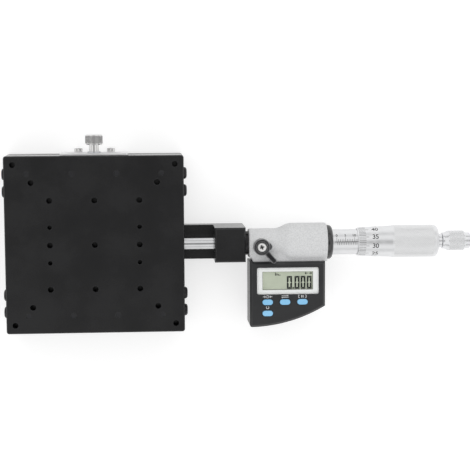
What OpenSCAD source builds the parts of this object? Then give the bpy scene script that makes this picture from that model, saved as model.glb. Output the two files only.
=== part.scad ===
// Linear translation stage on crossed-roller rails, driven by a digital micrometer head.
// +X is the direction of travel, towards the micrometer. +Y is the side with the table lock.
// The origin is the centre of the base's bottom face.

/* [Stage] */
// Length of the base and the table, along the travel
stage_l = 100; // [94:1:130]
// Width of the base
stage_w = 100; // [92:1:130]
// Travel of the table, from end to end
travel = 25; // [10:1:26]
// Thickness of the base under the rails
base_t = 12; // [11.5:0.5:16]
// Thickness of the table's top plate
table_t = 7; // [6:0.5:12]
// Gap between the table's side walls and the base
skirt_gap = 0.8; // [0.4:0.1:2]
// How far the table's sides stand back from the base's, to clear the lock plate
table_inset = 0.1; // [0.05:0.05:0.5]
// Radius of the upright corners
corner_r = 1.5; // [1:0.25:4]
// Bevel round the table's top edge
edge_c = 0.5; // [0.2:0.1:0.9]

/* [Rails and rollers] */
// Distance from the base's side to the rail pair, taken up by the table's wall
rail_wall = 6.7; // [6.4:0.1:9]
// Width of a rail pair
rail_pair_w = 18; // [17.6:0.1:19]
// Height of a rail
rail_h = 8; // [7.8:0.1:10]
// Gap between the two rails of a pair
rail_gap = 1; // [0.8:0.1:1.4]
// Step that each rail stands on, so that it clears the plate facing it
rail_land = 0.5; // [0.3:0.1:1]
// Diameter of a roller, and side of the square channel between the V grooves
roller_d = 3; // [2.4:0.1:3.2]
// Spacing of the rollers in the cage
roller_pitch = 5; // [4:0.25:8]
// Thickness of the cage strip
cage_t = 0.6; // [0.4:0.1:0.7]
// Height of the cage strip
cage_h = 6.8; // [5.8:0.1:7.4]
// Spacing of the screws along a rail
rail_screw_pitch = 25; // [20:1:26]
// Distance from a rail's back face to its screws
rail_screw_in = 3.4; // [3.2:0.1:3.8]
// Distance from a rail's back face to its end stop screw
rail_stop_in = 4.1; // [3.5:0.1:5]
// Head diameter of the end stop screws
stop_head_d = 6.8; // [6:0.1:7.2]
// Head height of the end stop screws
stop_head_h = 2; // [1.2:0.1:2.6]

/* [Mounting holes] */
// Pitch of the square grid of M4 holes
grid_pitch = 25; // [20:1:26]
// Distance from the edges to the second set of M4 holes
outer_in = 15; // [13.5:0.5:17]
// Distance from the edges to the corner holes of the table and the base
corner_in = 5; // [4.8:0.1:6]
// Spacing of the M3 holes across the travel
small_pitch = 20; // [16:1:30]
// Core diameter of the M4 holes
m4_core = 3.4; // [3.2:0.1:3.6]
// Core diameter of the M3 holes
m3_core = 2.6; // [2.4:0.1:2.8]
// Depth of the tapped holes in the table
tap_depth = 6; // [4:0.5:6]
// Depth of the tapped holes in the base
base_tap_depth = 7; // [5:0.5:9]
// Diameter of the through holes in the base's corners
base_bolt_d = 4.5; // [4.2:0.1:5]
// Diameter of the counterbores of the corner holes
base_bolt_head_d = 8; // [7.4:0.1:8.4]
// Depth of the counterbores of the corner holes
base_bolt_head_h = 4.4; // [4:0.1:6]

/* [Drive under the table] */
// Distance of the micrometer's axis from the centre line, negative to the front
axis_y = -1.2; // [-2:0.1:2]
// Distance from the base's end to the spindle tip at mid travel
tip_in = 12; // [8:0.5:14]
// Length of the drive block along the travel
drive_l = 12; // [9:0.5:14]
// Width of the drive block
drive_w = 17; // [16:0.5:18]
// Gap round the drive block in its channel
drive_gap = 1; // [0.5:0.1:1.2]
// Diameter of the hardened pad that the spindle pushes
pad_d = 8; // [6:0.5:8]
// How far the pad stands out of the drive block
pad_t = 1.5; // [1:0.25:3]
// Wall of the base between a return spring's groove and the rail
spring_wall = 3.7; // [2.6:0.1:4.2]
// Outer diameter of a return spring
spring_d = 5.6; // [4.5:0.1:5.8]
// Wire diameter of a return spring
wire_d = 1; // [0.8:0.1:1.1]
// Diameter of the spring pins
spring_pin_d = 2.5; // [2:0.1:2.8]

/* [Table lock] */
// Length of the lock plate
lock_plate_l = 38; // [36:1:50]
// Height of the lock plate
lock_plate_h = 23; // [21:0.5:24]
// Thickness of the lock plate
lock_plate_t = 1; // [0.8:0.1:2]
// Spacing of the lock plate's screws
lock_plate_pitch = 18.4; // [14:0.2:26]
// Diameter of the thumb screw's head
thumb_d = 9.6; // [8:0.2:14]
// Length of the thumb screw's head
thumb_l = 5.7; // [4:0.1:10]
// Diameter of the thumb screw's shoulder
shoulder_d = 5.6; // [5:0.1:7]
// Length of the thumb screw's shoulder
shoulder_l = 3.8; // [2:0.1:8]

/* [Bracket] */
// Distance from the base's end to the block
arm_reach = 17.3; // [14:0.1:24]
// Length of the arm inside the base's pocket
arm_in = 16; // [14:0.5:20]
// Thickness of the arm
arm_t = 7.7; // [7:0.1:8]
// Width of the arm and the block
bracket_w = 19.7; // [18:0.1:22]
// Length of the block
block_l = 17.4; // [14:0.1:22]
// How far the block's top lies under the table's
block_drop = 0.8; // [0.2:0.1:2]
// Bevel on the block's upright and top edges
block_c = 0.8; // [0.4:0.1:1.5]
// Height of the bracket above the surface that the stage stands on
bracket_lift = 0.3; // [0.1:0.1:0.5]

/* [Micrometer] */
// Diameter of the spindle
spindle_d = 6.5; // [6:0.1:6.8]
// Diameter of the stem in the block
stem_d = 12; // [11:0.1:12.5]
// Outer diameter of the stem's nut
collar_d = 13.6; // [13.2:0.1:16]
// Length of the stem's nut
collar_l = 2.1; // [1.5:0.1:4]
// Length of the cast frame
frame_l = 44.8; // [44:0.1:52]
// Length of the frame's narrow part
frame_neck_l = 16.9; // [15:0.1:18]
// Length of the cone between the narrow and the wide part
frame_cone_l = 5.8; // [3:0.1:8]
// Diameter of the frame's narrow part
frame_neck_d = 16.6; // [15.6:0.1:18]
// Diameter of the frame's wide part
frame_d = 22.5; // [21.6:0.1:22.8]
// Diameter of the ring at the frame's end
ring_d = 19.7; // [18.8:0.1:21]
// Length of the ring at the frame's end
ring_l = 3.4; // [3:0.1:6]
// Diameter of the graduated sleeve
sleeve_d = 14.4; // [14:0.1:14.5]
// Wall of the graduated sleeve
sleeve_wall = 0.85; // [0.7:0.05:1]
// Length of the thimble
thimble_l = 46.9; // [46:0.1:56]
// Length of the thimble's graduated taper
thimble_taper_l = 20; // [16:0.5:22]
// Diameter at the thimble's front edge
thimble_front_d = 16; // [15.8:0.1:16.6]
// Diameter of the thimble's knurled grip
thimble_d = 18.2; // [17.6:0.1:20]
// Clearance between the ring and the thimble at the end of travel
thimble_clear = 1.9; // [0.5:0.1:3]
// Diameter of the ratchet knob
ratchet_d = 11.3; // [10.6:0.1:14]
// Length of the ratchet knob's grip
ratchet_l = 9.8; // [8:0.1:14]
// Diameter of the knob's end cap
cap_d = 9.3; // [8:0.1:10]
// Length of the knob's end cap
cap_l = 3.4; // [2:0.1:6]

/* [Lock lever] */
// Distance from the frame's end to the lever's pivot
lever_x = 7; // [6.4:0.1:9]
// Distance from the spindle's axis to the lever's pivot
lever_off = 1.3; // [0.8:0.1:1.6]
// Diameter of the lever's hub
hub_d = 9.6; // [8:0.1:10]
// Height of the lever's hub
hub_h = 2.9; // [2.4:0.1:4]
// Reach of the lever from its pivot
lever_reach = 12; // [8:0.5:14]
// Width of the lever
lever_w = 3.2; // [2.4:0.1:4]
// Direction of the lever, seen from above
lever_angle = -49; // [-60:1:-40]

/* [Display unit] */
// Length of the display unit along the spindle
disp_l = 43.1; // [42.5:0.1:44.4]
// Distance from the spindle's axis to the display unit
disp_off = 10.1; // [10:0.1:10.6]
// Reach of the display unit away from the spindle, at its deep end
disp_w = 37.4; // [36.8:0.1:42]
// Reach of the display unit at its shallow end
disp_short_w = 25.6; // [24.5:0.1:28]
// Height of the display's face above the spindle's axis
disp_up = 9.5; // [9:0.1:10]
// Depth of the display unit behind the spindle's axis
disp_down = 9.5; // [9:0.1:11]
// Wall of the display housing
disp_wall = 1.6; // [1.2:0.1:2]
// Bevel round the display's face
disp_c = 1.3; // [0.6:0.1:1.5]
// Length of the white display surround
bezel_l = 35.4; // [34:0.1:36]
// Width of the white display surround
bezel_w = 15.4; // [15:0.1:16]
// Length of the visible display
lcd_l = 28.9; // [27:0.1:30]
// Width of the visible display
lcd_w = 10.5; // [9:0.1:11]
// Length of a key
key_l = 5.9; // [5:0.1:6.6]
// Width of a key
key_w = 3.1; // [2.6:0.1:3.4]
// Travel of a key
key_travel = 0.45; // [0.2:0.05:0.5]
// Spacing of the keys along the row
key_pitch = 9.95; // [9:0.05:10.4]
// Diameter of the battery
battery_d = 11.6; // [9.5:0.1:12]
// Thickness of the battery
battery_t = 5.2; // [3.6:0.1:5.4]

/* [Hidden] */
$fn = 48;
// Clearance of a running or threaded fit, measured on the radius
fit = 0.03;
// Overlap that makes a cut pass a face
eps = 0.5;

// Heights of the stage
rail_z0 = base_t + rail_land;
rail_z1 = rail_z0 + rail_h;
axis_z = rail_z0 + rail_h / 2;
table_z0 = rail_z1 + rail_land;
stage_h = table_z0 + table_t;
skirt_z0 = base_t + skirt_gap;
shoulder_z1 = table_z0 - 1.2;

// Places across the stage
half_l = stage_l / 2;
half_w = stage_w / 2;
rail_out_y = half_w - rail_wall;
rail_y = rail_out_y - rail_pair_w / 2;
rail_in_y = rail_out_y - rail_pair_w;
rail_body_w = (rail_pair_w - rail_gap) / 2;
groove_half = roller_d / sqrt(2) - rail_gap / 2;
rail_screw_n = floor(stage_l / rail_screw_pitch);
rail_screw_xs = [for (k = [0:rail_screw_n - 1]) (k - (rail_screw_n - 1) / 2) * rail_screw_pitch];

// M3 socket cap screws: head, key, clearance hole, sunk seat and grip in a tapped hole
m3_d = 3;
m3_head_d = 5.5;
m3_head_h = 3;
m3_key = 2.5;
m3_hole_d = 3.4;
m3_seat_d = 6;
m3_sink = 0.2;
m3_grip = 4.2;
m3_tap = 7;

// M4 set screws
m4_d = 4;
m4_key = 2;

// End stop screws, and how deep the tips of the table's rail screws lie
stop_screw_l = 5;
rail_tip_drop = 0.4;

// Cages and rollers
cage_end_gap = 1.75;
cage_l = stage_l - travel / 2 - 2 * cage_end_gap;
cage_margin = 4;
roller_n = floor((cage_l - 2 * cage_margin) / roller_pitch) + 1;
roller_play = 0.02;
roller_end_play = 0.1;

// Drive channel, drive block and spindle tip
tip_x = half_l - tip_in;
drive_z0 = base_t;
channel_z0 = drive_z0 - drive_gap;
channel_w = drive_w + 2 * drive_gap;
channel_x0 = tip_x - pad_t - drive_l - travel / 2 - 4;
drive_screw_y = drive_w / 2 - m3_seat_d / 2;
drive_screw_x = tip_x - pad_t - drive_l / 2;
drive_tap = table_t - 1.5;
pad_neck_d = 4;
pad_neck_l = 5.5;
touch = 0.02;

// Return springs
spring_base_x = half_l - 16;
spring_table_x = -(half_l - 20);
spring_side_gap = 0.8;
groove_w = spring_d + 2 * spring_side_gap;
spring_y = rail_in_y - spring_wall - groove_w / 2;
groove_z0 = axis_z - spring_d / 2 - 0.7;
hook_r = spring_pin_d / 2 + wire_d / 2 + 0.35;
hook_neck_l = 2.5;
pin_grip = 4.8;
table_pin_grip = table_t - 3.2;
pin_end_gap = 0.2;

// Table lock
lock_z = axis_z + 1.5;
lock_d = 4;
lock_plate_z0 = 3;
lock_plate_screw_z = base_t / 2 + 1;
slot_h = lock_d + 0.4;
slot_l = travel + slot_h + 0.6;
washer_d = 7.4;
washer_t = 0.8;
lock_grip = rail_wall - table_inset - 0.6;
lock_tap_gap = 0.3;

// Bracket
block_x0 = half_l + arm_reach;
block_x1 = block_x0 + block_l;
block_z1 = stage_h - block_drop;
arm_x0 = half_l - arm_in;
pocket_gap = 0.1;
arm_screw_xs = [arm_x0 + 3.6, half_l - 3.6];
arm_screw_y = 5.6;
arm_screw_sink = 0.1;

// Places along the micrometer
spindle_r = spindle_d / 2;
frame_x0 = block_x1 + collar_l;
frame_x1 = frame_x0 + frame_l;
cone_x0 = frame_x0 + frame_neck_l;
wide_x0 = cone_x0 + frame_cone_l;
ring_x1 = frame_x1 + ring_l;
thimble_x0 = ring_x1 + travel / 2 + thimble_clear;
thimble_x1 = thimble_x0 + thimble_l;
thimble_bore_x1 = thimble_x1 - 6.3;
sleeve_x1 = thimble_bore_x1 - travel / 2 - 1.5;
sleeve_bore_r = sleeve_d / 2 - sleeve_wall;
inner_sleeve_r = sleeve_bore_r - fit;
stem_x1 = frame_x0 + 13.2;
cavity_r = frame_d / 2 - 2.25;
cavity_x0 = wide_x0 - 1.5;
stator_x0 = cavity_x0 + 0.5;
stator_t = 2;
rotor_x0 = stator_x0 + stator_t + 0.6;
rotor_disc_t = 2;
flange_x0 = frame_x1 - 7;
flange_t = 3;
rotor_x1 = flange_x0 - 0.4;
key_slot_w = 1.2;
key_slot_d = 0.8;
nut_x0 = sleeve_x1 - 6;
nut_thread_r = inner_sleeve_r - 1.1;
thread_r = spindle_r - 0.08;
tail_r = 2.6;
post_neck_l = 2.5;
post_d = 8;
post_thread_r = 1.5;
knob_x0 = thimble_x1 + post_neck_l + 0.3;
knob_ring_l = 1.2;
knob_ring_d = 9.4;
knob_cone_l = 2.1;
grip_x0 = knob_x0 + knob_ring_l + knob_cone_l;
cap_x0 = grip_x0 + ratchet_l;

// Lock lever
pivot_x = frame_x0 + lever_x;
pivot_y = axis_y - lever_off;
boss_d = hub_d + 0.6;
boss_z1 = axis_z + frame_neck_d / 2 + 0.5;
hub_z0 = boss_z1 + 0.1;
hub_z1 = hub_z0 + hub_h;
lever_screw_d = 2.5;
lever_head_d = 5.2;
lever_arm_z0 = max(hub_z0 + 0.9, axis_z + disp_up + 0.35);
clamp_pin_d = 3;
clamp_pin_z1 = axis_z + stem_d / 2 - 0.4;

// Display unit
disp_x0 = frame_x0 + 0.3;
disp_x1 = disp_x0 + disp_l;
disp_y1 = axis_y - disp_off;
disp_y0 = disp_y1 - disp_w;
face_z = axis_z + disp_up;
back_z = axis_z - disp_down;
split_z = axis_z - 2.5;
disp_run = disp_x1 - disp_x0;
disp_rise = disp_w - disp_short_w;
disp_arc_r = (pow(disp_run, 2) + pow(disp_rise, 2)) / (2 * disp_rise);
disp_corner_r = 1.5;
bezel_x0 = disp_x0 + 4;
bezel_y1 = disp_y1 - 3.2;
bezel_t = 1;
window_t = 0.8;
window_r = 1;
seat_z = face_z - bezel_t - window_t;
seat_floor = 1;
seat_wall = 1;
lcd_x0 = bezel_x0 + 3.2;
lcd_y1 = bezel_y1 - 2.4;
lcd_margin = 1.4;
lcd_t = 1.8;
board_z1 = face_z - 5.4;
board_t = 1.6;
switch_h = 0.9;
key_row_y = bezel_y1 - bezel_w - 4.3;
key_low_y = key_row_y - 6.4;
key_x0 = disp_x0 + 10.05;
key_up = 0.6;
key_gap = 0.15;
key_rim = 0.8;
key_rim_t = 0.9;
key_stem_z0 = board_z1 + switch_h + key_travel + 0.05;
key_sites = [
    [key_x0, key_row_y], [key_x0 + key_pitch, key_row_y],
    [key_x0 + 2 * key_pitch, key_row_y], [key_x0, key_low_y]
];
battery_x = disp_x0 + 13;
battery_y = disp_y0 + 11.9;
cover_d = battery_d + 4;
cover_t = 1.6;
port_y = disp_y1 - 15;
port_l = 12;
port_h = 5;
switch_d = 3;
display_screw_d = 2;
display_post_d = 4.4;
display_corner_notch = 6;
// Each screw's place, and the corner that it is in
display_screw_sites = [
    [disp_x0 + 3.4, disp_y1 - 3.4, -1, 1],
    [disp_x1 - 3.4, disp_y1 - 3.4, 1, 1],
    [disp_x0 + 3.4, disp_y0 + 4.2, -1, -1],
    [disp_x1 - 3.6, disp_y1 - disp_short_w + 3.6, 1, -1]
];

// ---- Shapes that repeat ----

// Points of an arc, from angle a0 to a1
function arc(cx, cy, r, a0, a1, n = 5) =
    [for (k = [0:n]) [cx + r * cos(a0 + (a1 - a0) * k / n), cy + r * sin(a0 + (a1 - a0) * k / n)]];

// Moves its children to the micrometer's axis and turns their Z to point along +X
module on_axis(x = 0) {
    translate([x, axis_y, axis_z])
        rotate([0, 90, 0])
            children();
}

// A solid turned about the micrometer's axis. Each point is [radius, x].
module turned(points) {
    on_axis()
        rotate_extrude()
            polygon(points);
}

// A round bar along the micrometer's axis, from x0 to x1
module axis_bar(r, x0, x1) {
    on_axis(x0)
        cylinder(r = r, h = x1 - x0);
}

// A box given by its lowest and highest corners
module block(low, high) {
    translate(low)
        cube(high - low);
}

// An upright drill or pin at [x, y], from z0 to z1
module upright(x, y, z0, z1, d) {
    translate([x, y, z0])
        cylinder(d = d, h = z1 - z0);
}

// A slab with round upright corners of radius r and a bevel c round its top
module bevelled_slab(l, w, z0, z1, r, c) {
    for (turn = [0, 1]) {
        across = turn == 0 ? w / 2 : l / 2;
        along = (turn == 0 ? l : w) - 2 * r;
        rotate([90, 0, 90 - 90 * turn])
            linear_extrude(along, center = true)
                polygon([
                    [-across, z0], [across, z0], [across, z1 - c], [across - c, z1],
                    [c - across, z1], [-across, z1 - c]
                ]);
    }
    for (sx = [-1, 1], sy = [-1, 1])
        translate([sx * (l / 2 - r), sy * (w / 2 - r), 0])
            rotate_extrude()
                polygon([[0, z0], [r, z0], [r, z1 - c], [r - c, z1], [0, z1]]);
}

// A socket cap screw: the head's top is at z = 0 and the shank points down
module cap_screw(d, head_d, head_h, l, socket) {
    difference() {
        union() {
            translate([0, 0, -head_h])
                cylinder(d = head_d, h = head_h);
            translate([0, 0, -head_h - l])
                cylinder(d = d, h = l + 0.1);
        }
        translate([0, 0, -head_h * 0.6])
            cylinder(d = socket / cos(30), h = head_h, $fn = 6);
    }
}

// An M3 socket cap screw, with a shank of length l
module m3_screw(l) {
    cap_screw(m3_d, m3_head_d, m3_head_h, l, m3_key);
}

// A domed button-head screw: the head's seat is at z = 0 and the shank points down
module button_screw(d, head_d, head_h, l, socket) {
    rim = head_h * 0.3;
    flat_r = socket * 0.75;
    difference() {
        union() {
            rotate_extrude()
                polygon(concat(
                    [[0, 0], [head_d / 2, 0], [head_d / 2, rim]],
                    [for (k = [1:5])
                        [flat_r + (head_d / 2 - flat_r) * cos(18 * k), rim + (head_h - rim) * sin(18 * k)]],
                    [[0, head_h]]
                ));
            translate([0, 0, -l])
                cylinder(d = d, h = l + 0.1);
        }
        translate([0, 0, head_h * 0.35])
            cylinder(d = socket / cos(30), h = head_h, $fn = 6);
    }
}

// A set screw along +Z, with its socket at the top
module set_screw(d, l, socket) {
    difference() {
        cylinder(d = d, h = l);
        translate([0, 0, l * 0.5])
            cylinder(d = socket / cos(30), h = l, $fn = 6);
    }
}

// A flat shape with round ends, l long and w wide
module pill(l, w) {
    square([l - w, w], center = true);
    for (s = [-1, 1])
        translate([s * (l - w) / 2, 0])
            circle(d = w);
}

// A rectangle with round corners, from its lower left corner
module round_rect(l, w, r) {
    translate([r, 0])
        square([l - 2 * r, w]);
    translate([0, r])
        square([l, w - 2 * r]);
    for (x = [r, l - r], y = [r, w - r])
        translate([x, y])
            circle(r = r);
}

// ---- Fixed side of the stage ----

module base_plate() {
    color("#2b2b2d")
        difference() {
            union() {
                bevelled_slab(stage_l, stage_w, 0, base_t, corner_r, 0.3);
                block([-half_l, -rail_y + rail_gap / 2, base_t - eps], [half_l, rail_y - rail_gap / 2, rail_z0]);
                block([-half_l, -rail_in_y, base_t - eps], [half_l, rail_in_y, shoulder_z1]);
            }
            drive_channel();
            spring_grooves();
            bracket_pocket();
            for (x = rail_screw_xs, s = [-1, 1])
                upright(x, s * (rail_in_y + rail_screw_in), rail_z0 - m3_tap, rail_z0 + eps, m3_d + 2 * fit);
            for (s = [-1, 1]) {
                upright(
                    spring_base_x, s * spring_y,
                    groove_z0 - pin_grip - pin_end_gap, groove_z0 + eps, spring_pin_d + 2 * fit
                );
                translate([s * lock_plate_pitch / 2, half_w + eps, lock_plate_screw_z])
                    rotate([90, 0, 0])
                        cylinder(d = 2.5 + 2 * fit, h = 7);
            }
            base_mount_holes();
        }
}

// The channel that the drive block moves in. It is open at the micrometer's end.
module drive_channel() {
    block([channel_x0, axis_y - channel_w / 2, channel_z0], [half_l + eps, axis_y + channel_w / 2, stage_h]);
}

module spring_grooves() {
    for (s = [-1, 1])
        block(
            [spring_table_x - travel / 2 - hook_r - wire_d, s * spring_y - groove_w / 2, groove_z0],
            [spring_base_x + hook_r + wire_d, s * spring_y + groove_w / 2, stage_h]
        );
}

// The pocket under the base that the bracket's arm fits in, and its screw holes
module bracket_pocket() {
    block(
        [arm_x0 - pocket_gap, axis_y - bracket_w / 2 - pocket_gap, -eps],
        [half_l + eps, axis_y + bracket_w / 2 + pocket_gap, bracket_lift + arm_t]
    );
    for (x = arm_screw_xs, s = [-1, 1])
        upright(x, axis_y + s * arm_screw_y, arm_t, channel_z0 + eps, m3_d + 2 * fit);
}

// Tapped holes from below, and counterbored corner holes for screws from above. A corner
// hole comes free when the table is at the far end of its travel.
module base_mount_holes() {
    tap = from_edges(outer_in);
    corner = from_edges(corner_in);
    for (sx = [-1, 1], sy = [-1, 1]) {
        upright(sx * tap[0], sy * tap[1], -eps, base_tap_depth, m4_core);
        upright(sx * corner[0], sy * corner[1], -eps, base_t + eps, base_bolt_d);
        upright(sx * corner[0], sy * corner[1], base_t - base_bolt_head_h, base_t + eps, base_bolt_head_d);
    }
}

// One rail of a pair. Its back face is at y = 0, its V groove opens to +Y and its screw
// heads sit on the +Z side.
module rail_bar() {
    difference() {
        rotate([90, 0, 90])
            linear_extrude(stage_l, center = true)
                polygon([
                    [0, 0], [rail_body_w, 0], [rail_body_w, rail_h / 2 - groove_half],
                    [rail_body_w - groove_half, rail_h / 2],
                    [rail_body_w, rail_h / 2 + groove_half], [rail_body_w, rail_h], [0, rail_h]
                ]);
        for (x = rail_screw_xs) {
            upright(x, rail_screw_in, -eps, rail_h + eps, m3_hole_d);
            upright(x, rail_screw_in, rail_h - m3_head_h - m3_sink, rail_h + eps, m3_seat_d);
        }
        for (s = [-1, 1])
            translate([s * (half_l + eps), rail_stop_in, rail_h / 2])
                rotate([0, -s * 90, 0])
                    cylinder(d = m3_d + 2 * fit, h = stop_screw_l + 0.5 + eps);
    }
}

// The inner rail of the pair on the side s, with its groove facing out
module inner_rail(s) {
    color("#8d9094")
        turned_side(s)
            translate([0, rail_in_y, rail_z0])
                rail_bar();
}

// The outer rail of the pair on the side s, upside down, with its groove facing in
module outer_rail(s) {
    color("#8d9094")
        turned_side(s)
            translate([0, rail_out_y, rail_z1])
                rotate([180, 0, 0])
                    rail_bar();
}

// Leaves the rear side (s = 1) as it is and turns it half round for the front (s = -1)
module turned_side(s) {
    rotate([0, 0, s > 0 ? 0 : 180])
        children();
}

module base_rail_front() {
    inner_rail(-1);
}

module base_rail_rear() {
    inner_rail(1);
}

module base_rail_screws() {
    color("#3a3a3c")
        for (x = rail_screw_xs, s = [-1, 1])
            translate([x, s * (rail_in_y + rail_screw_in), rail_z1 - m3_sink])
                m3_screw(rail_h - m3_head_h - m3_sink + m3_grip);
}

// The stop screws of two rails, at the distance y from the centre line
module end_screws(y) {
    color("#1c1c1e")
        for (sx = [-1, 1], sy = [-1, 1])
            translate([sx * half_l, sy * y, axis_z])
                rotate([0, sx * 90, 0])
                    button_screw(m3_d, stop_head_d, stop_head_h, stop_screw_l, m3_key);
}

module base_end_screws() {
    end_screws(rail_in_y + rail_stop_in);
}

module base_spring_pins() {
    color("#c8c8cc")
        for (s = [-1, 1])
            upright(spring_base_x, s * spring_y, groove_z0 - pin_grip, axis_z + spring_d / 2, spring_pin_d);
}

module lock_plate() {
    color("#d8d9db")
        translate([0, half_w, 0])
            rotate([-90, 0, 0])
                linear_extrude(lock_plate_t)
                    difference() {
                        translate([-lock_plate_l / 2, -lock_plate_z0 - lock_plate_h])
                            round_rect(lock_plate_l, lock_plate_h, 1);
                        translate([0, -lock_z])
                            pill(slot_l, slot_h);
                        for (s = [-1, 1])
                            translate([s * lock_plate_pitch / 2, -lock_plate_screw_z])
                                circle(d = 2.8);
                    }
}

module lock_plate_screws() {
    color("#2a2a2c")
        for (s = [-1, 1])
            translate([s * lock_plate_pitch / 2, half_w + lock_plate_t + 2.3, lock_plate_screw_z])
                rotate([-90, 0, 0])
                    cap_screw(2.5, 4.6, 2.3, 6.5, 2);
}

// ---- Moving table ----

module table_plate() {
    color("#2b2b2d")
        difference() {
            bevelled_slab(stage_l, stage_w - 2 * table_inset, skirt_z0, stage_h, corner_r, edge_c);
            block([-half_l - eps, -rail_y, skirt_z0 - eps], [half_l + eps, rail_y, table_z0]);
            block([-half_l - eps, -rail_out_y, skirt_z0 - eps], [half_l + eps, rail_out_y, rail_z1]);
            table_mount_holes();
            for (x = rail_screw_xs, s = [-1, 1])
                upright(x, s * (rail_out_y - rail_screw_in), rail_z1 - eps, stage_h + eps, m3_d + 2 * fit);
            for (s = [-1, 1]) {
                upright(
                    spring_table_x, s * spring_y,
                    table_z0 - eps, table_z0 + table_pin_grip + pin_end_gap, spring_pin_d + 2 * fit
                );
                upright(
                    drive_screw_x, axis_y + s * drive_screw_y,
                    table_z0 - eps, table_z0 + drive_tap, m3_d + 2 * fit
                );
            }
            for (x = rail_screw_xs)
                translate([x, -rail_out_y + eps, axis_z])
                    rotate([90, 0, 0])
                        cylinder(d = m4_d + 2 * fit, h = half_w);
            translate([0, half_w - table_inset - lock_grip, lock_z])
                rotate([-90, 0, 0])
                    cylinder(d = lock_d + 2 * fit, h = lock_grip + eps);
        }
}

module table_mount_holes() {
    hole_z0 = stage_h - tap_depth;
    for (i = [-1:1], j = [-1:1])
        upright(i * grid_pitch, j * grid_pitch, hole_z0, stage_h + eps, m4_core);
    for (place = [from_edges(outer_in), from_edges(corner_in)], sx = [-1, 1], sy = [-1, 1])
        upright(sx * place[0], sy * place[1], hole_z0, stage_h + eps, m4_core);
    for (sx = [-1, 1], sy = [-1, 1])
        upright(sx * grid_pitch, sy * small_pitch / 2, hole_z0, stage_h + eps, m3_core);
}

module table_rail_front() {
    outer_rail(-1);
}

module table_rail_rear() {
    outer_rail(1);
}

// Place of a hole in a corner of the stage, at the distance d from both edges
function from_edges(d) = [half_l - d, half_w - d];

// The screws come from below, and their tips show in the table's top
module table_rail_screws() {
    color("#3a3a3c")
        for (x = rail_screw_xs, s = [-1, 1])
            translate([x, s * (rail_out_y - rail_screw_in), rail_z0 + m3_sink])
                rotate([180, 0, 0])
                    m3_screw(stage_h - rail_tip_drop - rail_z0 - m3_sink - m3_head_h);
}

module table_end_screws() {
    end_screws(rail_out_y - rail_stop_in);
}

// Set screws in the front wall, which press on the front rail's back
module preload_screws() {
    screw_l = half_w - table_inset - rail_out_y - 0.5;
    color("#1c1c1e")
        for (x = rail_screw_xs)
            translate([x, -rail_out_y, axis_z])
                rotate([90, 0, 0])
                    set_screw(m4_d, screw_l, m4_key);
}

module drive_block() {
    drive_x1 = tip_x - pad_t;
    color("#8d9094")
        difference() {
            block([drive_x1 - drive_l, axis_y - drive_w / 2, drive_z0], [drive_x1, axis_y + drive_w / 2, table_z0]);
            for (s = [-1, 1]) {
                upright(drive_screw_x, axis_y + s * drive_screw_y, drive_z0 - eps, table_z0 + eps, m3_hole_d);
                upright(
                    drive_screw_x, axis_y + s * drive_screw_y,
                    drive_z0 - eps, drive_z0 + m3_sink + m3_head_h, m3_seat_d - 0.1
                );
            }
            axis_bar(pad_neck_d / 2 + fit, drive_x1 - pad_neck_l - 0.5, drive_x1 + eps);
        }
}

module drive_block_screws() {
    color("#3a3a3c")
        for (s = [-1, 1])
            translate([drive_screw_x, axis_y + s * drive_screw_y, drive_z0 + m3_sink])
                rotate([180, 0, 0])
                    m3_screw(table_z0 + drive_tap - 0.3 - drive_z0 - m3_sink - m3_head_h);
}

module drive_pad() {
    color("#d0d0d4")
        union() {
            axis_bar(pad_d / 2, tip_x - pad_t, tip_x - touch);
            axis_bar(pad_neck_d / 2, tip_x - pad_t - pad_neck_l, tip_x - pad_t + 0.1);
        }
}

module table_spring_pins() {
    color("#c8c8cc")
        for (s = [-1, 1])
            upright(
                spring_table_x, s * spring_y,
                axis_z - spring_d / 2, table_z0 + table_pin_grip, spring_pin_d
            );
}

// ---- Crossed rollers ----

module cage(s) {
    pocket_w = roller_d + 0.1;
    pocket_h = roller_d * sqrt(2) + 0.5;
    color("#b8873a")
        translate([0, s * rail_y, axis_z])
            rotate([90, 0, 0])
                linear_extrude(cage_t, center = true)
                    difference() {
                        square([cage_l, cage_h], center = true);
                        for (k = [0:roller_n - 1])
                            translate([roller_x(k), 0])
                                square([pocket_w, pocket_h], center = true);
                    }
}

function roller_x(k) = (k - (roller_n - 1) / 2) * roller_pitch;

// Rollers that lean to one side and the other by turns
module rollers(s) {
    color("#d8d8dc")
        for (k = [0:roller_n - 1])
            translate([roller_x(k), s * rail_y, axis_z])
                rotate([k % 2 == 0 ? 45 : -45, 0, 0])
                    cylinder(d = roller_d - roller_play, h = roller_d - roller_end_play, center = true);
}

module cage_front() {
    cage(-1);
}

module rollers_front() {
    rollers(-1);
}

module cage_rear() {
    cage(1);
}

module rollers_rear() {
    rollers(1);
}

// ---- Return springs ----

// Edge of a close-wound coil: one round bump for each turn, as [radius, x]
function coil_edge(x0, turns) = [
    for (k = [0:turns - 1], a = [0, 60, 120])
        [spring_d / 2 - wire_d / 2 + wire_d / 2 * sin(a + 30), x0 + wire_d * (k + (1 - cos(a + 30)) / 2)]
];

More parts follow.
